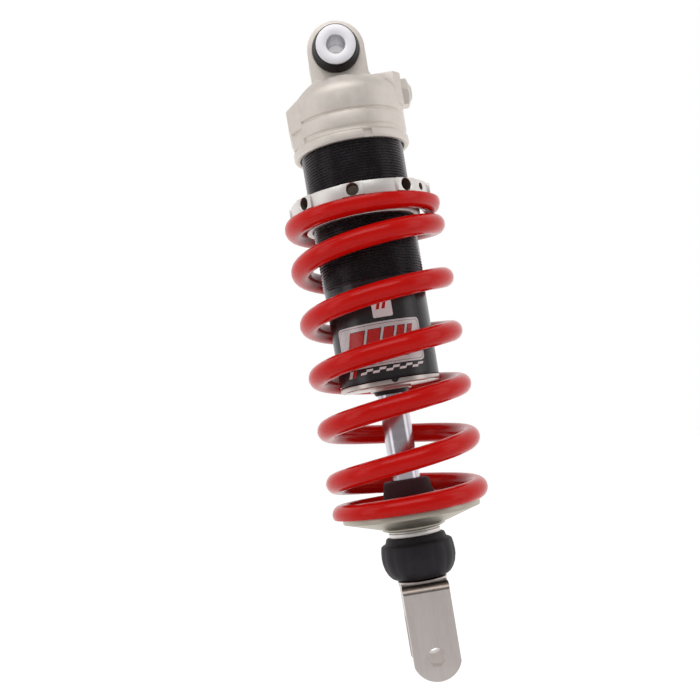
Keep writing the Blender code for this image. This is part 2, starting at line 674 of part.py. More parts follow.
def build_piston(metal, steel, band, parent):
    bore = SHANK_RADIUS + GAP
    middle = (PISTON_TOP + PISTON_BOTTOM) / 2
    high = middle + PISTON_BAND_HEIGHT / 2
    low = middle - PISTON_BAND_HEIGHT / 2
    floor = INNER_RADIUS - 1.6 * MM
    outline = [
        (INNER_RADIUS, PISTON_TOP),
        (INNER_RADIUS, high),
        (floor, high),
        (floor, low),
        (INNER_RADIUS, low),
        (INNER_RADIUS, PISTON_BOTTOM),
        (bore, PISTON_BOTTOM),
        (bore, PISTON_TOP),
    ]
    piston = keep_part(turned("piston", outline, SMALL_STEPS * 2), metal, parent)
    for number in range(PISTON_PORTS):
        turn = 2 * math.pi * number / PISTON_PORTS
        place = (PORT_CIRCLE * math.cos(turn), PORT_CIRCLE * math.sin(turn), 0)
        port = rod_outline(PORT_HOLE_RADIUS, PISTON_TOP + 1 * MM, PISTON_BOTTOM - 1 * MM)
        boolean(piston, turned(f"piston_port_{number}", port, 10, location=place))
    seal = ring_outline(TUBE_BORE_RADIUS - SEAL_GAP, floor + GAP, high - GAP, low + GAP)
    keep_part(turned("piston_band", seal, SMALL_STEPS * 2), band, parent)
    for name, bottom, up in (
        ("compression_shims", COMPRESSION_SHIMS_BOTTOM, True),
        ("rebound_shims", REBOUND_SHIMS_BOTTOM, False),
    ):
        top = bottom + SHIM_STACK
        middle = (top + bottom) / 2
        widths = (SHIM_SMALL_RADIUS, SHIM_RADIUS) if up else (SHIM_RADIUS, SHIM_SMALL_RADIUS)
        stack = [
            (widths[0], top),
            (widths[0], middle),
            (widths[1], middle),
            (widths[1], bottom),
            (bore, bottom),
            (bore, top),
        ]
        keep_part(turned(name, stack, SMALL_STEPS), steel, parent)
    nut = hexagon("piston_nut", NUT_HALF_FLATS, NUT_BOTTOM, NUT_BOTTOM + NUT_HEIGHT)
    keep_part(nut, steel, parent)
    boolean(nut, turned("nut_bore", rod_outline(bore, ROD_TOP, NUT_BOTTOM - 1 * MM), SMALL_STEPS))


def build_rod(chrome, steel, parent, needle_parent):
    rod = [
        (0, ROD_TOP),
        (SHANK_RADIUS, ROD_TOP),
        (SHANK_RADIUS, ROD_SHOULDER),
        (ROD_RADIUS, ROD_SHOULDER),
        (ROD_RADIUS, ROD_BOTTOM),
        (NEEDLE_BORE, ROD_BOTTOM),
        (NEEDLE_BORE, NEEDLE_BORE_TOP),
        (0, NEEDLE_BORE_TOP),
    ]
    keep_part(turned("piston_rod", rod), chrome, parent)
    top = NEEDLE_BORE_TOP - 3 * MM
    needle = [(0, top), (NEEDLE_RADIUS, top - 4 * MM), (NEEDLE_RADIUS, ROD_BOTTOM + 3 * MM), (0, ROD_BOTTOM + 3 * MM)]
    keep_part(turned("rebound_needle", needle, 8), steel, needle_parent)


# Spring and its seats


def spring_height(turn, first, active):
    """How far the wire centre is below its upper end after so many turns.

    The pitch is first for CLOSED_TURNS, then grows to active over RAMP_TURNS, and the lower end mirrors this.
    """
    if turn > SPRING_TURNS / 2:
        half = spring_height(SPRING_TURNS / 2, first, active)
        return 2 * half - spring_height(SPRING_TURNS - turn, first, active)
    along = min(max(turn - CLOSED_TURNS, 0), RAMP_TURNS) / RAMP_TURNS
    ramp = RAMP_TURNS * (first * along + (active - first) * along**2 / 2)
    return first * min(turn, CLOSED_TURNS) + ramp + active * max(turn - CLOSED_TURNS - RAMP_TURNS, 0)


def spring_pitches():
    """Pitches of the closed ends and of the active turns.

    They follow from the spring's length and from the room that the first turn leaves to the second one.
    """
    drop = SPRING_TOP - SPRING_BOTTOM - 2 * GROUND_DEPTH
    room = 2 * WIRE_RADIUS + COIL_GAP
    closed_turns = 2 * CLOSED_TURNS + RAMP_TURNS
    open_turns = SPRING_TURNS - closed_turns
    opened = 1 - CLOSED_TURNS - RAMP_TURNS / 2
    first = (room - opened * drop / open_turns) / (1 - opened - opened * closed_turns / open_turns)
    return first, (drop - closed_turns * first) / open_turns


def spring_line():
    """Points along the centre of the wire, a right-hand coil seen from any side."""
    first, active = spring_pitches()
    count = round(SPRING_TURNS * COIL_STEPS)
    points = []
    for step in range(count + 1):
        turn = SPRING_TURNS * step / count
        near_end = min(turn, SPRING_TURNS - turn, 1.0)
        swell = near_end * near_end * (3 - 2 * near_end)
        radius = SPRING_END_RADIUS + (SPRING_RADIUS - SPRING_END_RADIUS) * swell
        angle = -2 * math.pi * turn
        height = SPRING_TOP - GROUND_DEPTH - spring_height(turn, first, active)
        points.append((radius * math.cos(angle), radius * math.sin(angle), height))
    return points


def build_spring(red):
    points = spring_line()
    curve = bpy.data.curves.new("spring", "CURVE")
    curve.dimensions = "3D"
    curve.bevel_depth = WIRE_RADIUS
    curve.bevel_resolution = 2
    curve.use_fill_caps = True
    line = curve.splines.new("POLY")
    line.points.add(len(points) - 1)
    for point, place in zip(line.points, points):
        point.co = (*place, 1)
    drawn = bpy.data.objects.new("spring_wire", curve)
    PARTS.objects.link(drawn)
    bpy.context.view_layer.update()
    seen = drawn.evaluated_get(bpy.context.evaluated_depsgraph_get())
    mesh = bpy.data.meshes.new_from_object(seen)
    weld(mesh)
    bpy.data.objects.remove(drawn)
    mesh.materials.clear()
    spring = keep_part(bpy.data.objects.new("spring", mesh), red)
    wide = 3 * SPRING_RADIUS
    deep = 4 * WIRE_RADIUS
    boolean(spring, box("upper_grind", (wide, wide, deep), (0, 0, SPRING_TOP + deep / 2)))
    boolean(spring, box("lower_grind", (wide, wide, deep), (0, 0, SPRING_BOTTOM - deep / 2)))


def build_preload(metal, steel, ring_parent, slider_parent):
    bottom = RING_TOP - RING_HEIGHT
    low_radius = RING_RADIUS - RING_PAD_RISE
    spigot = SPRING_END_RADIUS - WIRE_RADIUS - SPIGOT_GAP
    running = TUBE_THREAD_RADIUS + THREAD_RUNNING_GAP
    outline = [
        (low_radius - 0.6 * MM, RING_TOP),
        (low_radius, RING_TOP - 0.6 * MM),
        (low_radius, bottom),
        (spigot, bottom),
        (spigot, bottom - SPIGOT_DEPTH),
        (running, bottom - SPIGOT_DEPTH),
        (running, RING_TOP),
    ]
    ring = keep_part(turned("preload_ring", outline), metal, ring_parent)
    reach = low_radius - 4 * MM
    middle = RING_TOP - RING_HEIGHT / 2
    for number in range(RING_PADS):
        turn = RING_TURNED + 2 * math.pi * number / RING_PADS
        out = (RING_RADIUS + reach) / 2
        place = (out * math.cos(turn), out * math.sin(turn), middle)
        size = (RING_RADIUS - reach, RING_PAD_WIDTH, RING_HEIGHT - 0.4 * MM)
        boolean(ring, box(f"ring_pad_{number}", size, place, turn), "UNION")
    for number in range(RING_PADS):
        turn = RING_TURNED + 2 * math.pi * number / RING_PADS
        hole = rod_outline(TOMMY_RADIUS, RING_RADIUS + 2 * MM, RING_RADIUS - TOMMY_DEPTH)
        boolean(ring, radial(f"tommy_hole_{number}", hole, turn, middle, 12))
    hole = rod_outline(LOCK_SCREW_RADIUS + GAP, RING_RADIUS + 2 * MM, TUBE_THREAD_RADIUS + 1 * MM)
    boolean(ring, radial("lock_screw_hole", hole, LOCK_SCREW_ANGLE, middle, 10))
    screw_out = low_radius - 1 * MM
    screw = rod_outline(LOCK_SCREW_RADIUS, screw_out, screw_out - LOCK_SCREW_LENGTH)
    keep_part(radial("preload_lock_screw", screw, LOCK_SCREW_ANGLE, middle, 10), steel, ring_parent)
    washer_top = bottom - GAP
    washer = ring_outline(low_radius, spigot + GAP, washer_top, washer_top - THRUST_WASHER_THICKNESS)
    keep_part(turned("thrust_washer", washer), steel, slider_parent)


def radial(name, outline, turn, height, steps):
    """A turned shape whose axis points out from the damper axis at that height."""
    piece = turned(name, outline, steps, location=(0, 0, height))
    piece.rotation_euler = (0, math.pi / 2, turn)
    return piece


def build_lower_seat(metal, rubber, steel, parent):
    running = ROD_RADIUS + GAP
    pocket = BUMP_FOOT_RADIUS + 1 * MM
    spigot = SPRING_END_RADIUS - WIRE_RADIUS - SPIGOT_GAP
    cone_top = SEAT_TOP - SEAT_RIM
    seat = [
        (spigot, SEAT_TOP + SEAT_SPIGOT),
        (spigot, SEAT_TOP),
        (SEAT_RADIUS, SEAT_TOP),
        (SEAT_RADIUS, cone_top),
        (SEAT_FOOT_RADIUS, cone_top - SEAT_CONE),
        (SEAT_FOOT_RADIUS - 1.5 * MM, SEAT_BOTTOM),
        (running, SEAT_BOTTOM),
        (running, SEAT_TOP),
        (pocket, SEAT_TOP),
        (pocket, SEAT_TOP + SEAT_SPIGOT),
    ]
    keep_part(turned("lower_spring_seat", seat), metal, parent)
    top = SEAT_COLLAR_BOTTOM + SEAT_COLLAR_HEIGHT
    collar = ring_outline(SEAT_COLLAR_RADIUS, running, top, SEAT_COLLAR_BOTTOM)
    keep_part(turned("seat_collar", collar), metal, parent)
    washer_top = BUMP_WASHER_BOTTOM + BUMP_WASHER_THICKNESS
    washer = ring_outline(BUMP_FOOT_RADIUS, running, washer_top, BUMP_WASHER_BOTTOM)
    keep_part(turned("bump_stop_washer", washer, SMALL_STEPS * 2), steel, parent)
    bump = [
        (BUMP_TOP_RADIUS - 1.5 * MM, BUMP_TOP),
        (BUMP_TOP_RADIUS, BUMP_TOP - 1.2 * MM),
        (BUMP_FOOT_RADIUS - 0.6 * MM, BUMP_BOTTOM + 5 * MM),
        (BUMP_FOOT_RADIUS, BUMP_BOTTOM),
        (running, BUMP_BOTTOM),
        (running, BUMP_TOP),
    ]
    keep_part(turned("bump_stop", bump, SMALL_STEPS * 2), rubber, parent)


# Clevis and knob


def clevis_outline():
    meet = math.degrees(math.asin(TANG_HALF_WIDTH / TANG_END_RADIUS))
    end = arc((0, CLEVIS_HOLE), TANG_END_RADIUS, -90 - meet, -90 + meet, 12)
    top = CLEVIS_SHOULDER
    return [(TANG_HALF_WIDTH, top), (-TANG_HALF_WIDTH, top)] + end


def shoulder_cutter(name, side):
    """Takes the front or the back top edge off the clevis at 45 degrees."""
    edge = side * CLEVIS_HALF_DEPTH
    far = side * (CLEVIS_HALF_DEPTH + SHOULDER_BEVEL)
    up = CLEVIS_SHOULDER + SHOULDER_BEVEL
    outline = [
        (edge - 2 * side * SHOULDER_BEVEL, up),
        (far, up),
        (far, CLEVIS_SHOULDER - 2 * SHOULDER_BEVEL),
    ]
    cutter = slab(name, outline, -CLEVIS_HALF_DEPTH, CLEVIS_HALF_DEPTH)
    cutter.location = (0, 0, 0)
    cutter.rotation_euler = (math.pi / 2, 0, math.pi / 2)
    return cutter


def slot_outline():
    """The gap between the tangs, with a round root."""
    half = CLEVIS_HALF_DEPTH - TANG_THICKNESS
    root = CLEVIS_HOLE + SLOT_HEIGHT
    low = CLEVIS_HOLE - TANG_END_RADIUS - 5 * MM
    corner = 4 * MM
    right = arc((half - corner, root - corner), corner, 0, 90, 3)
    left = arc((corner - half, root - corner), corner, 90, 180, 3)
    return [(half, low)] + right + left + [(-half, low)]


def build_clevis(metal, parent):
    clevis = slab("clevis", clevis_outline(), -CLEVIS_HALF_DEPTH, CLEVIS_HALF_DEPTH)
    keep_part(clevis, metal, parent)
    boolean(clevis, shoulder_cutter("front_shoulder", -1))
    boolean(clevis, shoulder_cutter("rear_shoulder", 1))
    neck_top = CLEVIS_SHOULDER + NECK_HEIGHT
    stem = [
        (0, STEM_TOP),
        (STEM_RADIUS, STEM_TOP),
        (STEM_RADIUS, neck_top),
        (NECK_RADIUS - 1.2 * MM, neck_top),
        (NECK_RADIUS, CLEVIS_SHOULDER + 1 * MM),
        (NECK_RADIUS - 1 * MM, CLEVIS_SHOULDER - 6 * MM),
        (0, CLEVIS_SHOULDER - 6 * MM),
    ]
    boolean(clevis, turned("clevis_stem", stem), "UNION")
    slot = slab("clevis_slot", slot_outline(), -2 * TANG_HALF_WIDTH, 2 * TANG_HALF_WIDTH)
    slot.location = (0, 0, 0)
    slot.rotation_euler = (math.pi / 2, 0, math.pi / 2)
    boolean(clevis, slot)
    bolt = rod_outline(BOLT_RADIUS, 2 * CLEVIS_HALF_DEPTH, -2 * CLEVIS_HALF_DEPTH)
    boolean(clevis, turned("clevis_bolt_hole", bolt, SMALL_STEPS * 2, "Y", (0, 0, CLEVIS_HOLE)))
    bore = rod_outline(STEM_BORE, STEM_TOP + 5 * MM, ROD_BOTTOM - GAP)
    boolean(clevis, turned("rod_bore", bore))


def build_knob(plastic, parent):
    bore = STEM_RADIUS + THREAD_RUNNING_GAP
    outline = [
        (KNOB_WAIST - 0.5 * MM, KNOB_TOP),
        (KNOB_WAIST, KNOB_TOP - 0.5 * MM),
        (KNOB_WAIST + 0.5 * MM, KNOB_TOP - 2.9 * MM),
        (KNOB_SHOULDER, KNOB_TOP - 4.4 * MM),
        (KNOB_RADIUS, KNOB_TOP - 10.4 * MM),
        (KNOB_RADIUS - 0.5 * MM, KNOB_BOTTOM + 9 * MM),
        (KNOB_FOOT + 1.5 * MM, KNOB_BOTTOM + 3 * MM),
        (KNOB_FOOT, KNOB_BOTTOM + 0.6 * MM),
        (KNOB_FOOT - 1.4 * MM, KNOB_BOTTOM),
        (bore, KNOB_BOTTOM),
        (bore, KNOB_TOP),
    ]
    keep_part(turned("rebound_knob", outline), plastic, parent)


def axis_empty(name, height=0.0, parent=None):
    """An empty on a joint's axis, which its moving pieces hang on."""
    made = bpy.data.objects.new(name, None)
    made.location = (0, 0, height)
    made.parent = parent
    PARTS.objects.link(made)
    return made


def main():
    head_metal = finish("satin_head_aluminium", 0.52, 0.48, 0.43, 0.38, 1)
    bright_metal = finish("bright_aluminium", 0.72, 0.70, 0.67, 0.28, 1)
    black = finish("black_anodised", 0.02, 0.018, 0.02, 0.32, 0.6)
    red = finish("red_powder_coat", 0.46, 0.012, 0.01, 0.22, 0)
    chrome = finish("hard_chrome", 0.7, 0.68, 0.72, 0.08, 1)
    steel = finish("bright_steel", 0.66, 0.65, 0.66, 0.25, 1)
    race_steel = finish("bearing_steel", 0.5, 0.5, 0.5, 0.3, 1)
    rubber = finish("black_rubber", 0.012, 0.011, 0.011, 0.6, 0)
    brass = finish("brass", 0.6, 0.42, 0.16, 0.3, 1)
    band = finish("ptfe_band", 0.1, 0.06, 0.04, 0.5, 0)
    foam = finish("dark_foam_rubber", 0.035, 0.02, 0.017, 0.7, 0)
    knob_plastic = finish("matte_black_knob", 0.022, 0.02, 0.022, 0.55, 0)
    eye_axis = axis_empty("eye_axis")
    rod_axis = axis_empty("rod_axis")
    floating_axis = axis_empty("floating_piston_axis")
    slider_axis = axis_empty("preload_slider_axis")
    ring_axis = axis_empty("preload_ring_axis", parent=slider_axis)
    knob_axis = axis_empty("rebound_knob_axis", parent=rod_axis)
    build_head(head_metal)
    build_gas_port(bright_metal, brass)
    build_eye(steel, race_steel, rubber, eye_axis)
    build_tube(black, bright_metal, rubber, band)
    build_floating_piston(bright_metal, rubber, floating_axis)
    build_piston(bright_metal, steel, band, rod_axis)
    build_rod(chrome, steel, rod_axis, knob_axis)
    build_spring(red)
    build_preload(bright_metal, steel, ring_axis, slider_axis)
    build_lower_seat(bright_metal, foam, steel, rod_axis)
    build_clevis(head_metal, rod_axis)
    build_knob(knob_plastic, knob_axis)


main()
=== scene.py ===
"""Looks of a motorcycle's rear shock absorber: its finishes, and the detailed pieces that stand on its frame.

The upper eye centre is the origin, the damper axis is Z and both mounting bolts lie along Y.
"""

import math

import bmesh
import bpy
from mathutils import Matrix, Vector
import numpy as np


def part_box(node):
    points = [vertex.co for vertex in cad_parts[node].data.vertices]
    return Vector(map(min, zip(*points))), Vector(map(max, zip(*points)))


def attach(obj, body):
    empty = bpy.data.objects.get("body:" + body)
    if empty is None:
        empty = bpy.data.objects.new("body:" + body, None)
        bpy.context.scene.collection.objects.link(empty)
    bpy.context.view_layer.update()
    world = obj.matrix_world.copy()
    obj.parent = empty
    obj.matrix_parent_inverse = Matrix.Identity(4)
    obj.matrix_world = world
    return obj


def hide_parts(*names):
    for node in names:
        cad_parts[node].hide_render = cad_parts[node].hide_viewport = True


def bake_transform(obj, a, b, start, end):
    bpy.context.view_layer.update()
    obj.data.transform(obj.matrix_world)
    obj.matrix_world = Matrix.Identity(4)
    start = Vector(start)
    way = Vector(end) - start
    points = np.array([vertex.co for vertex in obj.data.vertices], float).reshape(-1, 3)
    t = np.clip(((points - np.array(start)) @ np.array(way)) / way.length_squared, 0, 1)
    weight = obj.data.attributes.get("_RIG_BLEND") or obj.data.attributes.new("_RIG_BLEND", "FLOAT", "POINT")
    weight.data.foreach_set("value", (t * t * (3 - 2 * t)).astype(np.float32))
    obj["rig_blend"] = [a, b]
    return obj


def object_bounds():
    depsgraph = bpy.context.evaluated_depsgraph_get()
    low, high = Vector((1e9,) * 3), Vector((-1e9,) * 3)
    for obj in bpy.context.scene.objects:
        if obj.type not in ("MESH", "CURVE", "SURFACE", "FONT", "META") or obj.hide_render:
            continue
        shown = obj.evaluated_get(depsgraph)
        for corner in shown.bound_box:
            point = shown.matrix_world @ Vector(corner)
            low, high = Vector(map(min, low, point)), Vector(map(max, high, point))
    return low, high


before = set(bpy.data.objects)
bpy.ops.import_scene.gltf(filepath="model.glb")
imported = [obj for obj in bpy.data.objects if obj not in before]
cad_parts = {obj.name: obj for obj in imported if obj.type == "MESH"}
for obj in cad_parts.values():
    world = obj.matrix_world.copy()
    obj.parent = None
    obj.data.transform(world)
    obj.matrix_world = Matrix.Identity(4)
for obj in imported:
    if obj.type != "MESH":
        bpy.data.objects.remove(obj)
CAD_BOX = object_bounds()

MM = 0.001
ALONG_X = Matrix.Rotation(math.pi / 2, 4, "Y")
TO_FRONT = Matrix.Rotation(math.pi / 2, 4, "X")
TO_REAR = Matrix.Rotation(-math.pi / 2, 4, "X")
UPRIGHT = Matrix.Identity(4)


def low(node):
    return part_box(node)[0].z


def high(node):
    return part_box(node)[1].z


# Colours and finishes


def srgb(code):
    """An sRGB hex colour as linear red, green, blue and alpha."""
    parts = [int(code[i : i + 2], 16) / 255 for i in (1, 3, 5)]
    return [p / 12.92 if p <= 0.04045 else ((p + 0.055) / 1.055) ** 2.4 for p in parts] + [1]


def add(tree, kind, sockets=None, **settings):
    """Adds a node, sets it up, and fills or links its sockets."""
    made = tree.nodes.new("ShaderNode" + kind)
    for name, value in settings.items():
        setattr(made, name, value)
    for name, value in (sockets or {}).items():
        if isinstance(value, bpy.types.NodeSocket):
            tree.links.new(value, made.inputs[name])
        else:
            made.inputs[name].default_value = value
    return made


def turned_coordinates(tree, place, about):
    """Coordinates that are the same all the way round an axis, for marks left by a lathe."""
    split = add(tree, "SeparateXYZ", {0: place})
    across = [name for name in "XYZ" if name != about]
    flat = add(tree, "CombineXYZ", {0: split.outputs[across[0]], 1: split.outputs[across[1]]})
    radius = add(tree, "VectorMath", {0: flat.outputs[0]}, operation="LENGTH")
    return add(tree, "CombineXYZ", {0: radius.outputs["Value"], 1: split.outputs[about]}).outputs[0]


BROAD_GRAIN = 12  # the broad grain's size in fine grains
NOISE_LOW, NOISE_HIGH = 0.7, 1.3  # where the sum of both grains lies; it covers a finish's full change


def surface(name, light, dark, metallic, rough, grain, relief, about=None, stretch=(1, 1, 1), **extra):
    """A finish whose colour, gloss and relief follow two sizes of grain, given in millimetres.

    light and dark are its colours, rough its lowest and highest roughness, relief the depth of the fine grain.
    """
    made = bpy.data.materials.new(name)
    made.use_nodes = True
    tree = made.node_tree
    shader = tree.nodes["Principled BSDF"]
    place = add(tree, "TexCoord").outputs["Object"]
    if about:
        place = turned_coordinates(tree, place, about)
    place = add(tree, "Mapping", {"Vector": place, "Scale": stretch}).outputs[0]
    fine = add(tree, "TexNoise", {"Vector": place, "Scale": 1 / (grain * MM), "Detail": 3, "Roughness": 0.6})
    broad = add(tree, "TexNoise", {"Vector": place, "Scale": 1 / (BROAD_GRAIN * grain * MM), "Detail": 4})
    both = add(tree, "Math", {0: fine.outputs[0], 1: broad.outputs[0]}, operation="ADD")
    spread = {"Value": both.outputs[0], "From Min": NOISE_LOW, "From Max": NOISE_HIGH}
    share = add(tree, "MapRange", spread)
    tone = add(tree, "Mix", {0: share.outputs[0], 6: srgb(dark), 7: srgb(light)}, data_type="RGBA")
    gloss = add(tree, "MapRange", {**spread, "To Min": rough[0], "To Max": rough[1]})
    raised = add(tree, "Bump", {"Height": fine.outputs[0], "Distance": relief * MM, "Strength": 1})
    tree.links.new(tone.outputs[2], shader.inputs["Base Color"])
    tree.links.new(gloss.outputs[0], shader.inputs["Roughness"])
    tree.links.new(raised.outputs[0], shader.inputs["Normal"])
    shader.inputs["Metallic"].default_value = metallic
    for socket, value in extra.items():
        shader.inputs[socket.replace("_", " ")].default_value = value
    return made


# Milled and then bead-blasted aluminium: an even warm grey satin with a grain just coarse enough to catch light.
blasted_aluminium = surface("bead_blasted_aluminium", "#E9E1DA", "#DDD5CD", 1, (0.5, 0.6), 0.35, 0.014)
# The clevis is brushed along its length and cooler in tone.
brushed_aluminium = surface(
    "brushed_aluminium", "#E2D9D5", "#D5CCC8", 1, (0.46, 0.56), 0.3, 0.006, stretch=(1, 1, 0.06)
)
# Turned on a lathe and clear anodised: fine rings round the axis, and a brighter silver than the blasted pieces.
turned_aluminium = surface("turned_aluminium", "#F2EDEA", "#E4DFDB", 1, (0.4, 0.5), 0.3, 0.004, about="Z")
# The spacers of the eye are turned steel, polished on the face.
turned_steel = surface("turned_steel", "#FAF8FC", "#F0EDF1", 1, (0.46, 0.56), 0.3, 0.003, about="Y")
# The gas plug is plain machined aluminium, a little duller and warmer than the steel.
machined_aluminium = surface("machined_aluminium", "#E0D9D1", "#D3CCC3", 1, (0.44, 0.54), 0.3, 0.006)
# The spring seat is clear anodised over a coarse turning; its greyer, warmer and darker colour is painted shade for
# the little light under the spring.
seat_aluminium_painted_shade = surface("coarse_turned_aluminium_painted_shade", "#BFB8AB", "#AFA799", 1, (0.34, 0.44), 0.3, 0.006, about="Z")
# The tube's end cap is turned finely and polished: it mirrors the coils in soft bands. Its darker colour is painted
# shade from the coils round it.
cap_aluminium_painted_shade = surface("polished_aluminium_painted_shade", "#CDC3BD", "#BFB5AF", 1, (0.24, 0.32), 0.3, 0.003, about="Z")
# The clevis shoulder is milled smooth, so it mirrors the dark knob above it; its darker colour is painted shade for
# that reflection.
milled_aluminium_painted_shade = surface("milled_aluminium_painted_shade", "#A1968E", "#91867F", 1, (0.26, 0.34), 0.3, 0.004)
# Inside the tommy holes the bore is dull, and its darker colour is painted shade.
bore_painted_shade = surface("bore_painted_shade", "#A3968B", "#8F8379", 1, (0.5, 0.65), 0.3, 0.01)
# Hard anodised black aluminium: dyed oxide, so it is dark with a soft grey reflection.
black_anodised = surface("black_anodised_aluminium", "#393438", "#2B272A", 0.6, (0.2, 0.28), 0.4, 0.004)
# The thread's flanks that face downwards are lighter and more metallic: a painted glint, in fine grey lines.
anodised_painted_glint = surface("black_anodising_painted_glint", "#6C6569", "#585256", 0.8, (0.22, 0.3), 0.4, 0.004)
# Gloss powder coat: a thick, slightly uneven skin, with a shallow orange peel about 2 mm across.
red_powder = surface(
    "red_powder_coat", "#D40F08", "#C80A04", 0, (0.16, 0.22), 2.2, 0.03, Specular_IOR_Level=0.22
)
# Hard chromium plate, ground and polished: a near mirror with the faintest rings.
hard_chrome = surface("hard_chrome_plate", "#DAD5DC", "#CEC9D1", 1, (0.15, 0.22), 0.3, 0.0006, about="Z")
# Nitrile rubber: dull black with a moulded skin.
nitrile_rubber = surface(
    "nitrile_rubber", "#141213", "#0E0D0E", 0, (0.4, 0.5), 0.3, 0.01, Specular_IOR_Level=0.35
)
# Cellular polyurethane: brown-black, matt and finely pitted.
cellular_polyurethane = surface(
    "cellular_polyurethane", "#43272C", "#321B1F", 0, (0.6, 0.75), 0.45, 0.05, Specular_IOR_Level=0.25
)
# Glass-filled nylon, moulded against a spark-eroded tool: a fine dull texture.
moulded_nylon = surface(
    "moulded_nylon", "#2A252B", "#201C21", 0, (0.5, 0.6), 0.25, 0.015, Specular_IOR_Level=0.3
)
# Printed vinyl film with a gloss laminate: smooth, so only the tone varies a little.
vinyl_black = surface("black_vinyl_film", "#2B282A", "#252224", 0, (0.22, 0.3), 3, 0.004)
vinyl_silver = surface("silver_vinyl_film", "#E4DFE0", "#DAD5D6", 0.2, (0.25, 0.33), 3, 0.004)
vinyl_red = surface("red_vinyl_film", "#CC1A15", "#C01410", 0, (0.22, 0.3), 3, 0.004)
vinyl_white = surface("white_vinyl_film", "#FDFCFD", "#F4F2F3", 0, (0.22, 0.3), 3, 0.004)
vinyl_edge = surface("dark_red_vinyl_film", "#4A1512", "#3E100E", 0, (0.22, 0.3), 3, 0.004)
# Inside pieces: zinc-plated and bearing steels, brass, and bronze-filled PTFE.
bearing_steel = surface("bearing_steel", "#BDBBBB", "#A9A7A7", 1, (0.18, 0.28), 0.3, 0.003)
plain_brass = surface("turned_brass", "#C9A45C", "#B48F4B", 1, (0.25, 0.35), 0.3, 0.006)
bronze_ptfe = surface("bronze_filled_ptfe", "#6E5038", "#5E432E", 0, (0.45, 0.6), 0.4, 0.01)
black_oxide = surface("black_oxide_steel", "#2A2829", "#1E1C1D", 0.8, (0.35, 0.5), 0.3, 0.006)

KEPT_NODES = {
    bearing_steel: (
        "eye_bearing_race",
        "eye_bearing_ball",
        "bearing_circlip_front",
        "bearing_circlip_rear",
        "compression_shims",
        "rebound_shims",
        "piston_nut",
        "rebound_needle",
        "thrust_washer",
        "bump_stop_washer",
    ),
    turned_aluminium: ("seal_head", "floating_piston", "piston"),
    nitrile_rubber: ("head_o_ring", "seal_head_o_ring", "floating_piston_o_ring", "rod_seal", "top_out_bumper"),
    bronze_ptfe: ("guide_bush", "piston_band"),
    plain_brass: ("gas_valve_core", "gas_port_washer"),
}
for material, names in KEPT_NODES.items():
    for name in names:
        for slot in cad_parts[name].material_slots:
            slot.material = material


# Ways of making shapes


def soften(form, width, segments=2, least=28):
    """Rounds every edge sharper than so many degrees."""
    sharp = [e for e in form.edges if e.is_manifold and e.calc_face_angle() > math.radians(least)]
    bmesh.ops.bevel(
        form,
        geom=sharp,
        offset=width,
        offset_type="OFFSET",
        segments=segments,
        profile=0.5,
        affect="EDGES",
        clamp_overlap=True,
        material=-1,
    )


def lathe(outline, steps=96, way=UPRIGHT, at=(0, 0, 0), edge=0.25 * MM):
    """A turned solid. outline is (radius, height) points, down the outer side and up the bore."""
    form = bmesh.new()
    points = [form.verts.new((radius, 0, height)) for radius, height in outline]
    pairs = list(zip(points, points[1:]))
    if outline[0][0] > 0:
        pairs.append((points[-1], points[0]))
    edges = [form.edges.new(pair) for pair in pairs]
    bmesh.ops.spin(form, geom=points + edges, axis=(0, 0, 1), angle=2 * math.pi, steps=steps, use_merge=True)
    bmesh.ops.remove_doubles(form, verts=form.verts, dist=1e-6)
    bmesh.ops.recalc_face_normals(form, faces=form.faces)
    if edge:
        soften(form, edge)
    bmesh.ops.transform(form, matrix=Matrix.Translation(at) @ way, verts=form.verts)
    return form


def arc(centre, radius, start, end, count):
    """Points along an arc, angles in degrees, both ends included."""
    turns = [math.radians(start + (end - start) * i / count) for i in range(count + 1)]
    return [(centre[0] + radius * math.cos(t), centre[1] + radius * math.sin(t)) for t in turns]


def profile(datum, *points):
    """Outline points from (radius, height past a datum) in millimetres."""
    return [(radius * MM, datum + height * MM) for radius, height in points]


def cylinder(radius, top, bottom):
    """The outline of a plain round bar or hole."""
    return [(0, top), (radius, top), (radius, bottom), (0, bottom)]


def mirrored(outline):
    """An outline followed by its reflection below height 0."""
    return outline + [(radius, -height) for radius, height in reversed(outline)]


def plate(outline, bottom, top, way=UPRIGHT, edge=0.0):
    """A flat outline in X and Y with thickness along Z, then turned."""
    form = bmesh.new()
    face = form.faces.new([form.verts.new((*point, bottom)) for point in outline])
    grown = bmesh.ops.extrude_face_region(form, geom=[face])
    raised = [v for v in grown["geom"] if isinstance(v, bmesh.types.BMVert)]
    bmesh.ops.translate(form, vec=(0, 0, top - bottom), verts=raised)
    bmesh.ops.recalc_face_normals(form, faces=form.faces)
    if edge:
        soften(form, edge, least=40)
    bmesh.ops.transform(form, matrix=way, verts=form.verts)
    return form


def block(size, matrix, edge=0.0):
    """A box of that size at a place, with its edges rounded."""
    form = bmesh.new()
    bmesh.ops.create_cube(form, size=1)
    bmesh.ops.scale(form, vec=size, verts=form.verts)
    if edge:
        soften(form, edge)
    bmesh.ops.transform(form, matrix=matrix, verts=form.verts)
    return form


def loose(form, name="form"):
    """An object for a form, not yet a piece."""
    mesh = bpy.data.meshes.new(name)
    form.to_mesh(mesh)
    form.free()
    made = bpy.data.objects.new(name, mesh)
    bpy.context.scene.collection.objects.link(made)
    return made


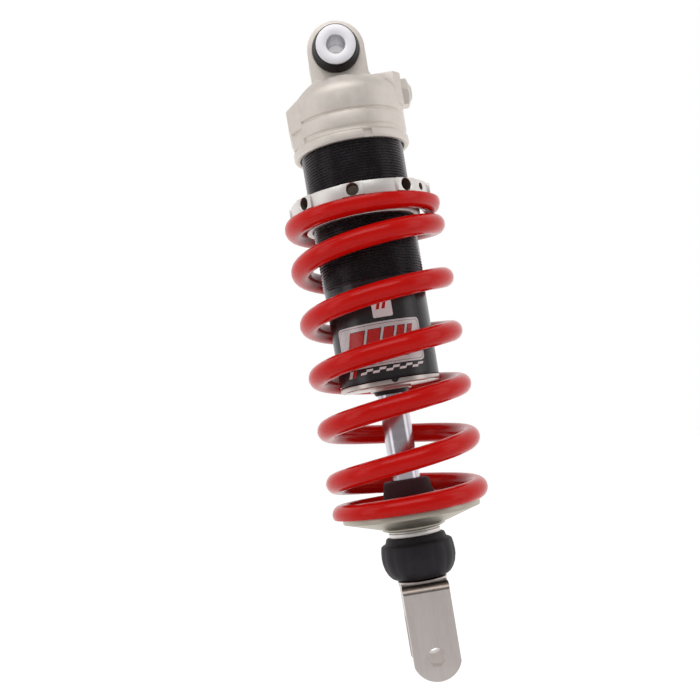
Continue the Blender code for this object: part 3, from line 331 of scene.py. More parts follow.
def combine(form, *others):
    """Joins to a form or cuts from it: others are (operation, form) pairs, taken in order."""
    base = loose(form)
    tools = []
    for operation, other in others:
        tool = loose(other)
        step = base.modifiers.new("step", "BOOLEAN")
        step.operation, step.object, step.solver = operation, tool, "EXACT"
        tools.append(tool)
    bpy.context.view_layer.update()
    seen = base.evaluated_get(bpy.context.evaluated_depsgraph_get())
    result = bmesh.new()
    result.from_mesh(seen.to_mesh())
    seen.to_mesh_clear()
    for used in [base, *tools]:
        old = used.data
        bpy.data.objects.remove(used)
        bpy.data.meshes.remove(old)
    bmesh.ops.remove_doubles(result, verts=result.verts, dist=1e-6)
    return result


def piece(form, name, materials, body, nodes=(), sharp=32):
    """Makes a finished piece that moves with a body and stands for the nodes named."""
    made = loose(form, name)
    for material in materials if isinstance(materials, tuple) else (materials,):
        made.data.materials.append(material)
    made.data.shade_smooth()
    made.data.set_sharp_from_angle(angle=math.radians(sharp))
    if body:
        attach(made, body)
    if nodes:
        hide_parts(*nodes)
    return made


# Head

HEAD_RADIUS = 31.5 * MM
HEAD_TOP = -17 * MM
HEAD_RIM = -28.5 * MM
CROWN_RADIUS = 17.5 * MM
HEAD_BOTTOM = low("top_mount_head") + 3.7 * MM
LUG_RADIUS = 15.5 * MM
LUG_HALF_WIDTH = 12.3 * MM
FLAT_HALF_WIDTH = 10 * MM
SHOULDER_HALF_WIDTH = 19 * MM
RIGHT_FLAT = 31.9 * MM
RIGHT_BOTTOM = -34 * MM
RIGHT_SHOULDER = 14.5 * MM
LEFT_FLAT = 31 * MM
LEFT_BOTTOM = -50 * MM
LEFT_BOSS = 32.1 * MM
BOSS_HALF_WIDTH = 14 * MM
BOSS_BOTTOM = -41.5 * MM
SLOPE_START = -17.5 * MM
SLOPE_KNEE = (-25.1 * MM, -26.1 * MM)
SLOPE_END = -45.7 * MM
PORT_Z = -25.7 * MM


def head_core():
    """The turned body: a domed crown, two grooves and a lip round the socket."""
    reach = HEAD_RADIUS - CROWN_RADIUS
    rise = HEAD_TOP - HEAD_RIM
    dome = [(CROWN_RADIUS + reach * x, HEAD_RIM + rise * z) for x, z in arc((0, 0), 1, 90, 0, 14)]
    groove = HEAD_RADIUS - 0.95 * MM
    lip = HEAD_RADIUS + 0.3 * MM
    side = [(HEAD_RADIUS, 16.6), (groove, 16.1), (groove, 15.2), (HEAD_RADIUS, 14.7)]
    side += [(HEAD_RADIUS, 7.9), (groove, 7.3), (groove, 5.3), (lip, 4.1), (lip, 1), (lip - 1 * MM, 0)]
    side = [(radius, HEAD_BOTTOM + height * MM) for radius, height in side]
    return lathe([(0, HEAD_TOP)] + dome + side + [(0, HEAD_BOTTOM)], steps=160, edge=0.18 * MM)


def side_flat(reach, bottom, side, half_width=FLAT_HALF_WIDTH, shoulder=SHOULDER_HALF_WIDTH):
    """A milled flat on one side, whose facets run on to the round of the body."""
    tangent = HEAD_RADIUS * math.cos(math.asin(shoulder / HEAD_RADIUS))
    plan = [
        (0, -shoulder),
        (tangent, -shoulder),
        (reach, -half_width),
        (reach, half_width),
        (tangent, shoulder),
        (0, shoulder),
    ]
    plan = [(side * x, y) for x, y in plan]
    return plate(plan, bottom, HEAD_TOP - 0.2 * MM, edge=0.3 * MM)


def lug():
    """The upright plate round the eye."""
    root = HEAD_RIM - 2 * MM
    fillet, sunk = 4 * MM, 0.4 * MM
    bend = arc((LUG_RADIUS + fillet, HEAD_TOP + fillet - sunk), fillet, 180, 270, 8)
    outline = arc((0, 0), LUG_RADIUS, 180, 0, 48) + bend
    outline += [(LUG_RADIUS + fillet, root), (-LUG_RADIUS, root)]
    return plate(outline, -LUG_HALF_WIDTH, LUG_HALF_WIDTH, way=TO_FRONT, edge=0.5 * MM)


def slope_cutter():
    """The wedge that slopes from the lug down to the left boss, and less steeply at the end."""
    far = 2 * HEAD_RADIUS
    near = -LUG_RADIUS + 2 * MM
    outline = [(near, SLOPE_START), (near, 0), (-far, 0), (-far, SLOPE_END), SLOPE_KNEE]
    return plate(outline, -far, far, way=TO_FRONT)


def build_head():
    """The head: a turned body with milled flats, the lug, and everything bored into them."""
    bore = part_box("eye_bearing_race")[1].x + 0.3 * MM
    face = LUG_HALF_WIDTH
    relief, flare, past_face = 0.6 * MM, 8 * MM, 20 * MM
    eye = mirrored([(0, past_face), (bore + relief + flare, past_face), (bore + relief, face), (bore, face - relief)])
    tube_radius, flare = 28.3 * MM, 4 * MM
    socket_top, mouth, below = HEAD_BOTTOM + 8.6 * MM, HEAD_BOTTOM + 0.8 * MM, HEAD_BOTTOM - 3.2 * MM
    socket = [(0, socket_top), (tube_radius, socket_top), (tube_radius, mouth)]
    socket += [(tube_radius + flare, below), (0, below)]
    spigot_radius, spigot_top, spigot_low = 22.6 * MM, HEAD_BOTTOM + 10.6 * MM, low("top_mount_head")
    ring_groove, groove_top, groove_low = 20.8 * MM, spigot_low + 5.4 * MM, spigot_low + 2.8 * MM
    spigot = [(0, spigot_top), (spigot_radius, spigot_top), (spigot_radius, groove_top)]
    spigot += [(ring_groove, groove_top), (ring_groove, groove_low)]
    spigot += [(spigot_radius, groove_low), (spigot_radius, spigot_low), (0, spigot_low)]
    washer_seat, thread, passage = 6.9 * MM, 5 * MM, 2.9 * MM
    port = [(0, 40 * MM), (washer_seat, 40 * MM)]
    port += [(washer_seat, RIGHT_FLAT - 0.7 * MM), (thread, RIGHT_FLAT - 0.7 * MM)]
    port += [(thread, RIGHT_FLAT - 10 * MM), (passage, RIGHT_FLAT - 10 * MM)]
    port += [(passage, RIGHT_FLAT - 22 * MM), (0, RIGHT_FLAT - 22 * MM)]
    slot_turn = math.radians(-74.5)
    slot_out = HEAD_RADIUS + 1.2 * MM
    slot_at = Matrix.Rotation(slot_turn, 4, "Z") @ Matrix.Translation((slot_out, 0, HEAD_BOTTOM + 1 * MM))
    slot_size = (4 * MM, 4.7 * MM, 6.4 * MM)
    form = combine(
        head_core(),
        ("UNION", side_flat(RIGHT_FLAT, RIGHT_BOTTOM, 1, shoulder=RIGHT_SHOULDER)),
        ("UNION", side_flat(LEFT_FLAT, LEFT_BOTTOM, -1)),
        ("UNION", side_flat(LEFT_BOSS, BOSS_BOTTOM, -1, BOSS_HALF_WIDTH)),
        ("DIFFERENCE", slope_cutter()),
        ("UNION", lug()),
        ("DIFFERENCE", lathe(socket, 128, edge=0)),
        ("UNION", lathe(spigot, 64, edge=0)),
        ("DIFFERENCE", lathe(eye, 96, way=TO_FRONT, edge=0)),
        ("DIFFERENCE", lathe(port, 48, way=ALONG_X, at=(0, 0, PORT_Z), edge=0)),
        ("DIFFERENCE", block(slot_size, slot_at)),
    )
    piece(form, "machined_head", blasted_aluminium, "damper", ("top_mount_head",), sharp=24)


def build_eye():
    """Steel spacers with black seals round them, on both sides of the lug."""
    face = -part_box("eye_spacer_front")[0].y
    seal_face = -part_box("eye_seal_front")[0].y
    root = -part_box("eye_seal_front")[1].y
    inner = -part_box("eye_spacer_front")[1].y
    bore, shank, flange = 5 * MM, 7 * MM, 10.7 * MM
    back = face - 3.5 * MM
    corner, mouth = 0.5 * MM, 0.4 * MM
    spacer = [(flange - corner, face), (flange, face - corner), (flange, back), (shank, back), (shank, inner)]
    spacer += [(bore, inner), (bore, face - mouth), (bore + mouth, face)]
    gap, lip_gap = 0.3 * MM, 0.1 * MM
    seal = profile(seal_face, (11.1, 0), (11.5, -1.4), (12.3, -4)) + profile(root, (12.7, 0.9), (11.7, 0))
    seal += [(shank + gap, root), (shank + gap, back - gap)]
    seal += [(flange + lip_gap, back - gap), (flange + lip_gap, seal_face)]
    for side, way in (("front", TO_FRONT), ("rear", TO_REAR)):
        form = lathe(spacer, 96, way=way, edge=0.12 * MM)
        piece(form, f"eye_spacer_{side}_turned", turned_steel, "eye_core", (f"eye_spacer_{side}",))
        form = lathe(seal, 96, way=way, edge=0.08 * MM)
        piece(form, f"eye_seal_{side}_moulded", nitrile_rubber, "eye_core", (f"eye_seal_{side}",))


def build_gas_plug():
    """A domed hexagon plug in the gas port."""
    face, end = 32.2 * MM, 37.8 * MM
    half_flats, dome = 7 * MM, 2.6 * MM
    corner = half_flats / math.cos(math.pi / 6)
    form = bmesh.new()
    bmesh.ops.create_cone(form, cap_ends=True, segments=6, radius1=corner, radius2=corner, depth=end - face)
    bmesh.ops.translate(form, vec=(0, 0, (face + end) / 2), verts=form.verts)
    past_corner, below = corner + 0.1 * MM, face - 1 * MM
    crown = [(0, end)] + arc((2.4 * MM, end - dome), dome, 90, 35, 5)
    crown += [(7.2 * MM, face + 3.4 * MM), (past_corner, face + 2.7 * MM), (past_corner, below), (0, below)]
    form = combine(form, ("INTERSECT", lathe(crown, 96, edge=0)))
    shank = cylinder(4.7 * MM, face + 1 * MM, face - 10 * MM)
    form = combine(form, ("UNION", lathe(shank, 48, edge=0)))
    matrix = Matrix.Translation((0, 0, PORT_Z)) @ ALONG_X
    bmesh.ops.transform(form, matrix=matrix, verts=form.verts)
    piece(form, "gas_port_cap", machined_aluminium, "damper", ("gas_port_plug",))


# Tube

THREAD_RADIUS = 28 * MM
SMOOTH_RADIUS = 27.4 * MM
TUBE_BORE = 23 * MM
ROD_HOLE = 8.3 * MM
THREAD_PITCH = 1.5 * MM
THREAD_DEPTH = 0.9 * MM
THREAD_END = -127.3 * MM
THREAD_TOOTH = ((0.06, 0), (0.44, 1), (0.56, 1), (0.94, 0))  # shares of the pitch and of the depth
THREAD_STEPS = 96
GLINT_FLANK = (-0.95, -0.3)  # Z of the normals of the flanks that take the lighter finish, a painted glint


def build_tube():
    """The body tube, with a real screw thread above and a smooth sleeve below."""
    form = bmesh.new()
    top, bottom = high("damper_body"), low("damper_body")
    # A turn and a half more at each end, cut off once the thread is made
    turns = round((top - THREAD_END) / THREAD_PITCH) + 3
    start = THREAD_END - 1.5 * THREAD_PITCH
    column = []
    for number in range(turns):
        for along, depth in THREAD_TOOTH:
            radius = THREAD_RADIUS - depth * THREAD_DEPTH
            column.append(form.verts.new((radius, 0, start + (number + along) * THREAD_PITCH)))
    edges = [form.edges.new(pair) for pair in zip(column, column[1:])]
    rise = (0, 0, THREAD_PITCH / THREAD_STEPS)
    bmesh.ops.spin(form, geom=column + edges, axis=(0, 0, 1), angle=2 * math.pi, steps=THREAD_STEPS, dvec=rise)
    bmesh.ops.remove_doubles(form, verts=form.verts, dist=1e-6)
    for height, way in ((top, 1), (THREAD_END, -1)):
        whole = form.verts[:] + form.edges[:] + form.faces[:]
        bmesh.ops.bisect_plane(form, geom=whole, plane_co=(0, 0, height), plane_no=(0, 0, way), clear_outer=True)
    rims = [e for e in form.edges if e.is_boundary]
    middle = (top + THREAD_END) / 2
    upper = [e for e in rims if e.verts[0].co.z > middle]
    lower = [e for e in rims if e.verts[0].co.z < middle]
    chamfer = 0.3 * MM
    sleeve = (
        (SMOOTH_RADIUS, THREAD_END - 0.5 * MM),
        (SMOOTH_RADIUS, bottom + chamfer),
        (SMOOTH_RADIUS - chamfer, bottom),
        (TUBE_BORE, bottom),
        (TUBE_BORE, top),
    )
    last = lower
    for radius, height in sleeve:
        level = Matrix.Translation((0, 0, height))
        made = bmesh.ops.create_circle(form, segments=THREAD_STEPS, radius=radius, matrix=level)
        ring = list({e for v in made["verts"] for e in v.link_edges})
        bmesh.ops.bridge_loops(form, edges=last + ring)
        last = ring
    bmesh.ops.bridge_loops(form, edges=last + upper)
    bmesh.ops.recalc_face_normals(form, faces=form.faces)
    form.normal_update()
    steep, shallow = GLINT_FLANK
    # Flanks facing downwards take the lighter finish: a painted glint.
    for face in form.faces:
        if THREAD_END < face.calc_center_median().z < top and steep < face.normal.z < shallow:
            face.material_index = 1
    piece(form, "threaded_tube", (black_anodised, anodised_painted_glint), "damper", ("damper_body",))


def build_tube_end():
    """The silver end cap with its boss and spanner notch, and the wiper round the rod."""
    top, bottom = high("body_end_cap"), low("body_end_cap")
    running, recess, boss = ROD_HOLE, 10.2 * MM, 11.4 * MM
    shelf, guide = bottom + 1.7 * MM, top - 1.2 * MM
    cap = [(SMOOTH_RADIUS, top), (SMOOTH_RADIUS, shelf + 0.5 * MM), (SMOOTH_RADIUS - 0.6 * MM, shelf)]
    cap += [(boss, shelf), (boss, bottom), (recess, bottom), (recess, guide), (running, guide), (running, top)]
    notch = cylinder(2.1 * MM, 3 * MM, -3 * MM)
    front = (1.7 * MM, -SMOOTH_RADIUS, top + 0.2 * MM)
    form = combine(lathe(cap, 128, edge=0.15 * MM), ("DIFFERENCE", lathe(notch, 32, way=TO_FRONT, at=front, edge=0)))
    piece(form, "tube_end_cap", cap_aluminium_painted_shade, "damper", ("body_end_cap",))
    # A black plug inside the spanner notch: painted shade for the depth of the hole.
    shade_plug = cylinder(1.9 * MM, 1 * MM, -1 * MM)
    form = lathe(shade_plug, 32, way=TO_FRONT, at=(front[0], front[1] + 1.6 * MM, front[2]), edge=0)
    piece(form, "spanner_notch_painted_shade", black_anodised, "damper", ())
    wiper_high, wiper_low = high("dust_wiper"), low("dust_wiper")
    wiper = [
        (recess - 0.3 * MM, wiper_high),
        (recess - 0.3 * MM, bottom + 0.1 * MM),
        (recess - 0.5 * MM, bottom - 0.5 * MM),
        (running + 0.6 * MM, wiper_low),
        (running, wiper_low),
        (running, wiper_high),
    ]
    piece(lathe(wiper, 96, edge=0.15 * MM), "rod_wiper", nitrile_rubber, "damper", ("dust_wiper",))


# Label on the sleeve, a plain design of bars and chequers

LABEL_RADIUS = SMOOTH_RADIUS + 0.02 * MM
FILM = 0.06 * MM
FACET = 1.2  # the longest straight piece of a film on the round, in millimetres


def rounded_rectangle(left, right, bottom, top, corner):
    outline = arc((right - corner, top - corner), corner, 90, 0, 5)
    outline += arc((right - corner, bottom + corner), corner, 0, -90, 5)
    outline += arc((left + corner, bottom + corner), corner, -90, -180, 5)
    return outline + arc((left + corner, top - corner), corner, 180, 90, 5)


def slanted(left, width, bottom, top, lean=0.3):
    """A bar that leans to the right."""
    shift = lean * (top - bottom)
    return [(left, bottom), (left + shift, top), (left + shift + width, top), (left + width, bottom)]


def wrap_film(outline, layer, index):
    """A thin film in millimetres of arc and height, wrapped round the front of the sleeve."""
    form = bmesh.new()
    form.faces.new([form.verts.new((x * MM, z * MM, 0)) for x, z in outline])
    left = min(x for x, z in outline)
    right = max(x for x, z in outline)
    cuts = max(1, math.ceil((right - left) / FACET))
    for number in range(1, cuts):
        whole = form.verts[:] + form.edges[:] + form.faces[:]
        at = (left + (right - left) * number / cuts) * MM
        bmesh.ops.bisect_plane(form, geom=whole, plane_co=(at, 0, 0), plane_no=(1, 0, 0))
    grown = bmesh.ops.extrude_face_region(form, geom=form.faces[:])
    upper = [v for v in grown["geom"] if isinstance(v, bmesh.types.BMVert)]
    for vert in upper:
        vert.co.z = FILM
    for vert in form.verts:
        turn = vert.co.x / LABEL_RADIUS
        radius = LABEL_RADIUS + layer * FILM + vert.co.z
        vert.co = (radius * math.sin(turn), -radius * math.cos(turn), vert.co.y)
    for face in form.faces:
        face.material_index = index
    bmesh.ops.recalc_face_normals(form, faces=form.faces)
    return form


def build_label():
    """The label's films, from the black one on the sleeve up to the bars."""
    black, silver, red, white, edge = range(5)
    films = [
        wrap_film(rounded_rectangle(-29.2, 22, -179.2, -130.2, 1), 0, black),
        wrap_film(rounded_rectangle(-4.4, 6.2, -147.9, -137.4, 0.9), 1, white),
        wrap_film(slanted(-2.4, 1.7, -143.6, -139.4), 2, red),
        wrap_film(slanted(0.6, 1.7, -143.6, -139.4), 2, red),
        wrap_film(rounded_rectangle(-28.3, 21.3, -172.8, -150, 2.4), 1, silver),
        wrap_film(rounded_rectangle(-27.3, 20.3, -171.8, -151, 1.9), 2, edge),
        wrap_film(rounded_rectangle(-27.1, 20.1, -171.6, -151.2, 1.8), 3, silver),
    ]
    left, space, outline = -23.5, 2.1, 0.35
    for width in (8.6, 6.6, 5, 3.6, 2.4):
        films.append(wrap_film(slanted(left - outline, width + 2 * outline, -169.4, -153.2), 4, edge))
        films.append(wrap_film(slanted(left, width, -169.1, -153.5), 5, red))
        left += width + space
    lean = 0.5
    films.append(wrap_film(slanted(-25.2, 2.6, -177, -173.2, lean), 1, silver))
    films.append(wrap_film(slanted(-22.1, 2, -177, -173.2, lean), 1, red))
    chequer, rise, lowest = 3.6, 1.25, -176.2
    for row, shift in enumerate((-16.6, -13)):
        for number in range(5):
            bottom = lowest + rise * row
            bar = slanted(shift + 2 * chequer * number, chequer, bottom, bottom + rise, lean)
            films.append(wrap_film(bar, 1, white))
    whole = bmesh.new()
    for part in films:
        mesh = bpy.data.meshes.new("film")
        part.to_mesh(mesh)
        part.free()
        whole.from_mesh(mesh)
        bpy.data.meshes.remove(mesh)
    finishes = (vinyl_black, vinyl_silver, vinyl_red, vinyl_white, vinyl_edge)
    piece(whole, "body_label", finishes, "damper", ())


# Preload ring

RING_RADIUS = 38.8 * MM
PAD_RISE = 0.8 * MM
RING_PADS = 8
RING_TURNED = math.radians(-97)
PAD_TURNS = [RING_TURNED + 2 * math.pi * number / RING_PADS for number in range(RING_PADS)]
LOCK_SCREW_ANGLE = math.radians(-32)


def outward(turn, height):
    """Turns Z to point out from the damper axis at that height."""
    return Matrix.Translation((0, 0, height)) @ Matrix.Rotation(turn, 4, "Z") @ ALONG_X


def build_ring():
    """The preload ring, with a raised pad and a tommy hole at each turn, and its lock screw."""
    top = high("preload_ring")
    bottom = top - 7.2 * MM
    end = low("preload_ring")
    middle = (top + bottom) / 2
    base = RING_RADIUS - PAD_RISE
    spigot, running = 31.5 * MM, 28.4 * MM
    outline = [(base, top), (base, bottom), (spigot, bottom), (spigot, end), (running, end), (running, top)]
    reach = 34 * MM
    pad_at = Matrix.Translation(((RING_RADIUS + reach) / 2, 0, middle))
    pad_size = (RING_RADIUS - reach, 12 * MM, top - bottom - 0.3 * MM)
    past_ring, drill, mouth = 42 * MM, 3.25 * MM, 3.4 * MM
    hole = [(0, past_ring), (6.7 * MM, past_ring), (mouth, RING_RADIUS - 0.1 * MM), (drill, RING_RADIUS - 0.3 * MM)]
    hole += [(drill, RING_RADIUS - 6.4 * MM), (0, RING_RADIUS - 7 * MM)]
    steps = []
    for turn in PAD_TURNS:
        steps.append(("UNION", block(pad_size, Matrix.Rotation(turn, 4, "Z") @ pad_at, edge=0.2 * MM)))
    for turn in PAD_TURNS:
        steps.append(("DIFFERENCE", lathe(hole, 40, way=outward(turn, middle), edge=0)))
    screw_hole = cylinder(2 * MM, past_ring, 29 * MM)
    steps.append(("DIFFERENCE", lathe(screw_hole, 32, way=outward(LOCK_SCREW_ANGLE, middle), edge=0)))
    form = combine(lathe(outline, 160, edge=0.35 * MM), *steps)
    # Faces inside the tommy holes take the darker finish: painted shade.
    for face in form.faces:
        centre = face.calc_center_median()
        for turn in PAD_TURNS:
            out = Vector((math.cos(turn), math.sin(turn), 0))
            reached = centre.dot(out)
            across = centre - Vector((0, 0, middle)) - out * reached
            if 28 * MM < reached < RING_RADIUS - 0.35 * MM and across.length < mouth:
                face.material_index = 1
    finishes = (turned_aluminium, bore_painted_shade)
    piece(form, "castellated_ring", finishes, "preload_ring", ("preload_ring",), sharp=24)
    out = base - 1 * MM
    screw = cylinder(1.7 * MM, out, out - 7 * MM)
    key = bmesh.new()
    bmesh.ops.create_cone(key, cap_ends=True, segments=6, radius1=1 * MM, radius2=1 * MM, depth=3 * MM)
    bmesh.ops.translate(key, vec=(0, 0, out), verts=key.verts)
    form = combine(lathe(screw, 32, edge=0.1 * MM), ("DIFFERENCE", key))
    bmesh.ops.transform(form, matrix=outward(LOCK_SCREW_ANGLE, middle), verts=form.verts)
    piece(form, "ring_lock_screw", black_oxide, "preload_ring", ("preload_lock_screw",))


# Spring

WIRE_RADIUS = 5.5 * MM
SPRING_RADIUS = 38.4 * MM
SPRING_END_RADIUS = 37.6 * MM
SPRING_TURNS = 6.72
GROUND_DEPTH = 1.1 * MM
CLOSED_TURNS = 0.5
RAMP_TURNS = 0.45
COIL_GAP = 0.7 * MM
MEETING_TURN = 1.75
SEATED_TURNS = 0.6
COIL_STEPS = 48
WIRE_STEPS = 24


def coil_pitches(drop):
    """Pitch of the closed ends and of the active turns."""
    room = 2 * WIRE_RADIUS + COIL_GAP
    closed_turns = 2 * CLOSED_TURNS + RAMP_TURNS
    open_turns = SPRING_TURNS - closed_turns
    opened = 1 - CLOSED_TURNS - RAMP_TURNS / 2
    closed = (room - opened * drop / open_turns) / (1 - opened - opened * closed_turns / open_turns)
    return closed, (drop - closed_turns * closed) / open_turns


SPRING_TOP = high("spring")
SPRING_BOTTOM = low("spring")
CLOSED_PITCH, OPEN_PITCH = coil_pitches(SPRING_TOP - SPRING_BOTTOM - 2 * GROUND_DEPTH)


def coil_fall(turn):
    """How far the wire centre is below its upper end after so many turns."""
    if turn > SPRING_TURNS / 2:
        return 2 * coil_fall(SPRING_TURNS / 2) - coil_fall(SPRING_TURNS - turn)
    along = min(max(turn - CLOSED_TURNS, 0), RAMP_TURNS) / RAMP_TURNS
    ramp = RAMP_TURNS * (CLOSED_PITCH * along + (OPEN_PITCH - CLOSED_PITCH) * along**2 / 2)
    opened = max(turn - CLOSED_TURNS - RAMP_TURNS, 0)
    return CLOSED_PITCH * min(turn, CLOSED_TURNS) + ramp + OPEN_PITCH * opened


def coil_point(turn):
    near_end = min(max(turn, 0), max(SPRING_TURNS - turn, 0), 1.0)
    swell = near_end * near_end * (3 - 2 * near_end)
    radius = SPRING_END_RADIUS + (SPRING_RADIUS - SPRING_END_RADIUS) * swell
    angle = -2 * math.pi * turn
    height = SPRING_TOP - GROUND_DEPTH - coil_fall(turn)
    return Vector((radius * math.cos(angle), radius * math.sin(angle), height))


def coil_frame(turn):
    """Where the wire's round section stands after so many turns."""
    step = 0.001
    here = coil_point(turn)
    along = (coil_point(turn + step) - coil_point(turn - step)).normalized()
    out = Vector((here.x, here.y, 0)).normalized()
    up = along.cross(out).normalized()
    out = up.cross(along)
    matrix = Matrix((out, up, along)).transposed().to_4x4()
    return Matrix.Translation(here) @ matrix


def coil(start, end):
    """A length of the spring's wire, ground flat where it meets a seat."""
    form = bmesh.new()
    share = form.verts.layers.float.new("turn")
    count = round((end - start) * COIL_STEPS)
    place = coil_frame(start)
    made = bmesh.ops.create_circle(form, segments=WIRE_STEPS, radius=WIRE_RADIUS, matrix=place)
    for vert in made["verts"]:
        vert[share] = start
    ring = list({e for v in made["verts"] for e in v.link_edges})
    first_ring = ring
    for number in range(1, count + 1):
        turn = start + (end - start) * number / count
        grown = bmesh.ops.extrude_edge_only(form, edges=ring)["geom"]
        fresh = [g for g in grown if isinstance(g, bmesh.types.BMVert)]
        ring = [g for g in grown if isinstance(g, bmesh.types.BMEdge)]
        beyond = coil_frame(turn)
        bmesh.ops.transform(form, matrix=beyond @ place.inverted(), verts=fresh)
        place = beyond
        for vert in fresh:
            vert[share] = turn
        inside = set(fresh)
        ring = [e for e in ring if e.verts[0] in inside and e.verts[1] in inside]
    bmesh.ops.edgeloop_fill(form, edges=first_ring)
    bmesh.ops.edgeloop_fill(form, edges=ring)
    bmesh.ops.recalc_face_normals(form, faces=form.faces)
    for height, way in ((SPRING_TOP, 1), (SPRING_BOTTOM, -1)):
        whole = form.verts[:] + form.edges[:] + form.faces[:]
        plane = {"plane_co": (0, 0, height), "plane_no": (0, 0, way)}
        cut = bmesh.ops.bisect_plane(form, geom=whole, **plane, clear_outer=True)
        edges = [g for g in cut["geom_cut"] if isinstance(g, bmesh.types.BMEdge) and g.is_boundary]
        if edges:
            bmesh.ops.holes_fill(form, edges=edges, sides=0)
    bmesh.ops.recalc_face_normals(form, faces=form.faces)
    return form


def build_spring():
    """The coil in two lengths, so that it can follow the preload ring and the lower seat."""
    spans = (
        ("upper_coils", 0, MEETING_TURN, "preload_slider", "damper"),
        ("lower_coils", MEETING_TURN, SPRING_TURNS, "damper", "rod_assembly"),
    )
    for name, start, end, above, below in spans:
        first, last = max(start, SEATED_TURNS), min(end, SPRING_TURNS - SEATED_TURNS)
        made = piece(coil(start, end), name, red_powder, None, ("spring",), sharp=50)
        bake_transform(made, above, below, start=(0, 0, coil_point(first).z), end=(0, 0, coil_point(last).z))
        turns = [item.value for item in made.data.attributes["turn"].data]
        top, bottom = coil_point(first).z, coil_point(last).z
        weights = made.data.attributes["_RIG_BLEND"]
        for item, turn in zip(weights.data, turns):
            item.value = min(max((top - coil_point(turn).z) / (top - bottom), 0), 1)


# Rod, bump stop, lower seat, knob and clevis


def build_rod():
    """The chromed rod and the bump stop on it."""
    top, bottom = high("piston_rod"), low("piston_rod")
    shoulder = top - 21.8 * MM
    bore_top = shoulder - 10 * MM
    spigot, radius, bore = 5 * MM, 8 * MM, 2.2 * MM
    rod = [(0, top), (spigot, top), (spigot, shoulder), (radius, shoulder), (radius, bottom)]
    rod += [(bore, bottom), (bore, bore_top), (0, bore_top)]
    piece(lathe(rod, 96, edge=0.3 * MM), "chromed_rod", hard_chrome, "rod_assembly", ("piston_rod",))
    top, bottom = high("bump_stop"), low("bump_stop")
    stop = profile(top, (11.4, 0), (12.4, -0.5), (12.8, -1.5)) + profile(bottom, (13.6, 8), (14.6, 4.6), (15.2, 0))
    stop += [(ROD_HOLE, bottom), (ROD_HOLE, top - 0.8 * MM), (ROD_HOLE + 0.8 * MM, top)]
    form = lathe(stop, 96, edge=0.3 * MM)
    piece(form, "bump_rubber", cellular_polyurethane, "rod_assembly", ("bump_stop",))


def build_seat():
    """The lower spring seat, a cone with a spigot inside the spring, and the collar under it."""
    top, bottom = high("lower_spring_seat"), low("lower_spring_seat")
    plane = top - 2.5 * MM
    rim = plane - 3.1 * MM
    spigot, flange, hub, foot, recess = 31.5 * MM, 38 * MM, 17.4 * MM, 15.5 * MM, 16.2 * MM
    seat = [(spigot, top), (spigot, plane), (flange, plane), (flange, rim)]
    seat += [(hub, bottom + 1.5 * MM), (hub, bottom + 0.7 * MM), (foot, bottom), (ROD_HOLE, bottom)]
    seat += [(ROD_HOLE, plane), (recess, plane), (recess, top)]
    form = lathe(seat, 160, edge=0.3 * MM)
    piece(form, "lower_seat", seat_aluminium_painted_shade, "rod_assembly", ("lower_spring_seat",))
    top, bottom = high("seat_collar"), low("seat_collar")
    neck, skirt = 13.2 * MM, 14.3 * MM
    collar = [(neck, top), (neck, top - 0.8 * MM), (skirt, top - 1 * MM), (skirt, bottom)]
    collar += [(ROD_HOLE, bottom), (ROD_HOLE, top)]
    form = lathe(collar, 128, edge=0.2 * MM)
    piece(form, "neck_collar", turned_aluminium, "rod_assembly", ("seat_collar",))


def build_knob():
    """The rebound knob: round shouldered, with shallow grip hollows."""
    top, bottom = high("rebound_knob"), low("rebound_knob")
    bore = 10.3 * MM
    outline = profile(top, (15.8, 0), (16.3, -0.5), (17, -2.9), (18.2, -3.3), (19.7, -4.3), (20.2, -7))
    outline += profile(top, (20.5, -10.6), (20.4, -13), (19.6, -16.5), (18.4, -19.2), (17.2, -20.9))
    outline += profile(bottom, (16.2, 1), (15.2, 0.4), (13.8, 0)) + [(bore, bottom), (bore, top)]
    form = lathe(outline, 160, edge=0.25 * MM)
    grips, depth = 16, 0.28 * MM
    grip_top, grip_radius = top - 3.6 * MM, 17.6 * MM
    for vert in form.verts:
        radius = math.hypot(vert.co.x, vert.co.y)
        if radius > grip_radius and vert.co.z < grip_top:
            turn = math.atan2(vert.co.y, vert.co.x)
            fade = min(1, (grip_top - vert.co.z) / (2 * MM), (vert.co.z - bottom) / (5 * MM))
            change = 1 - depth * fade * (0.5 + 0.5 * math.cos(grips * turn)) ** 2 / radius
            vert.co.x *= change
            vert.co.y *= change
    piece(form, "rebound_dial", moulded_nylon, "rebound_knob", ("rebound_knob",))


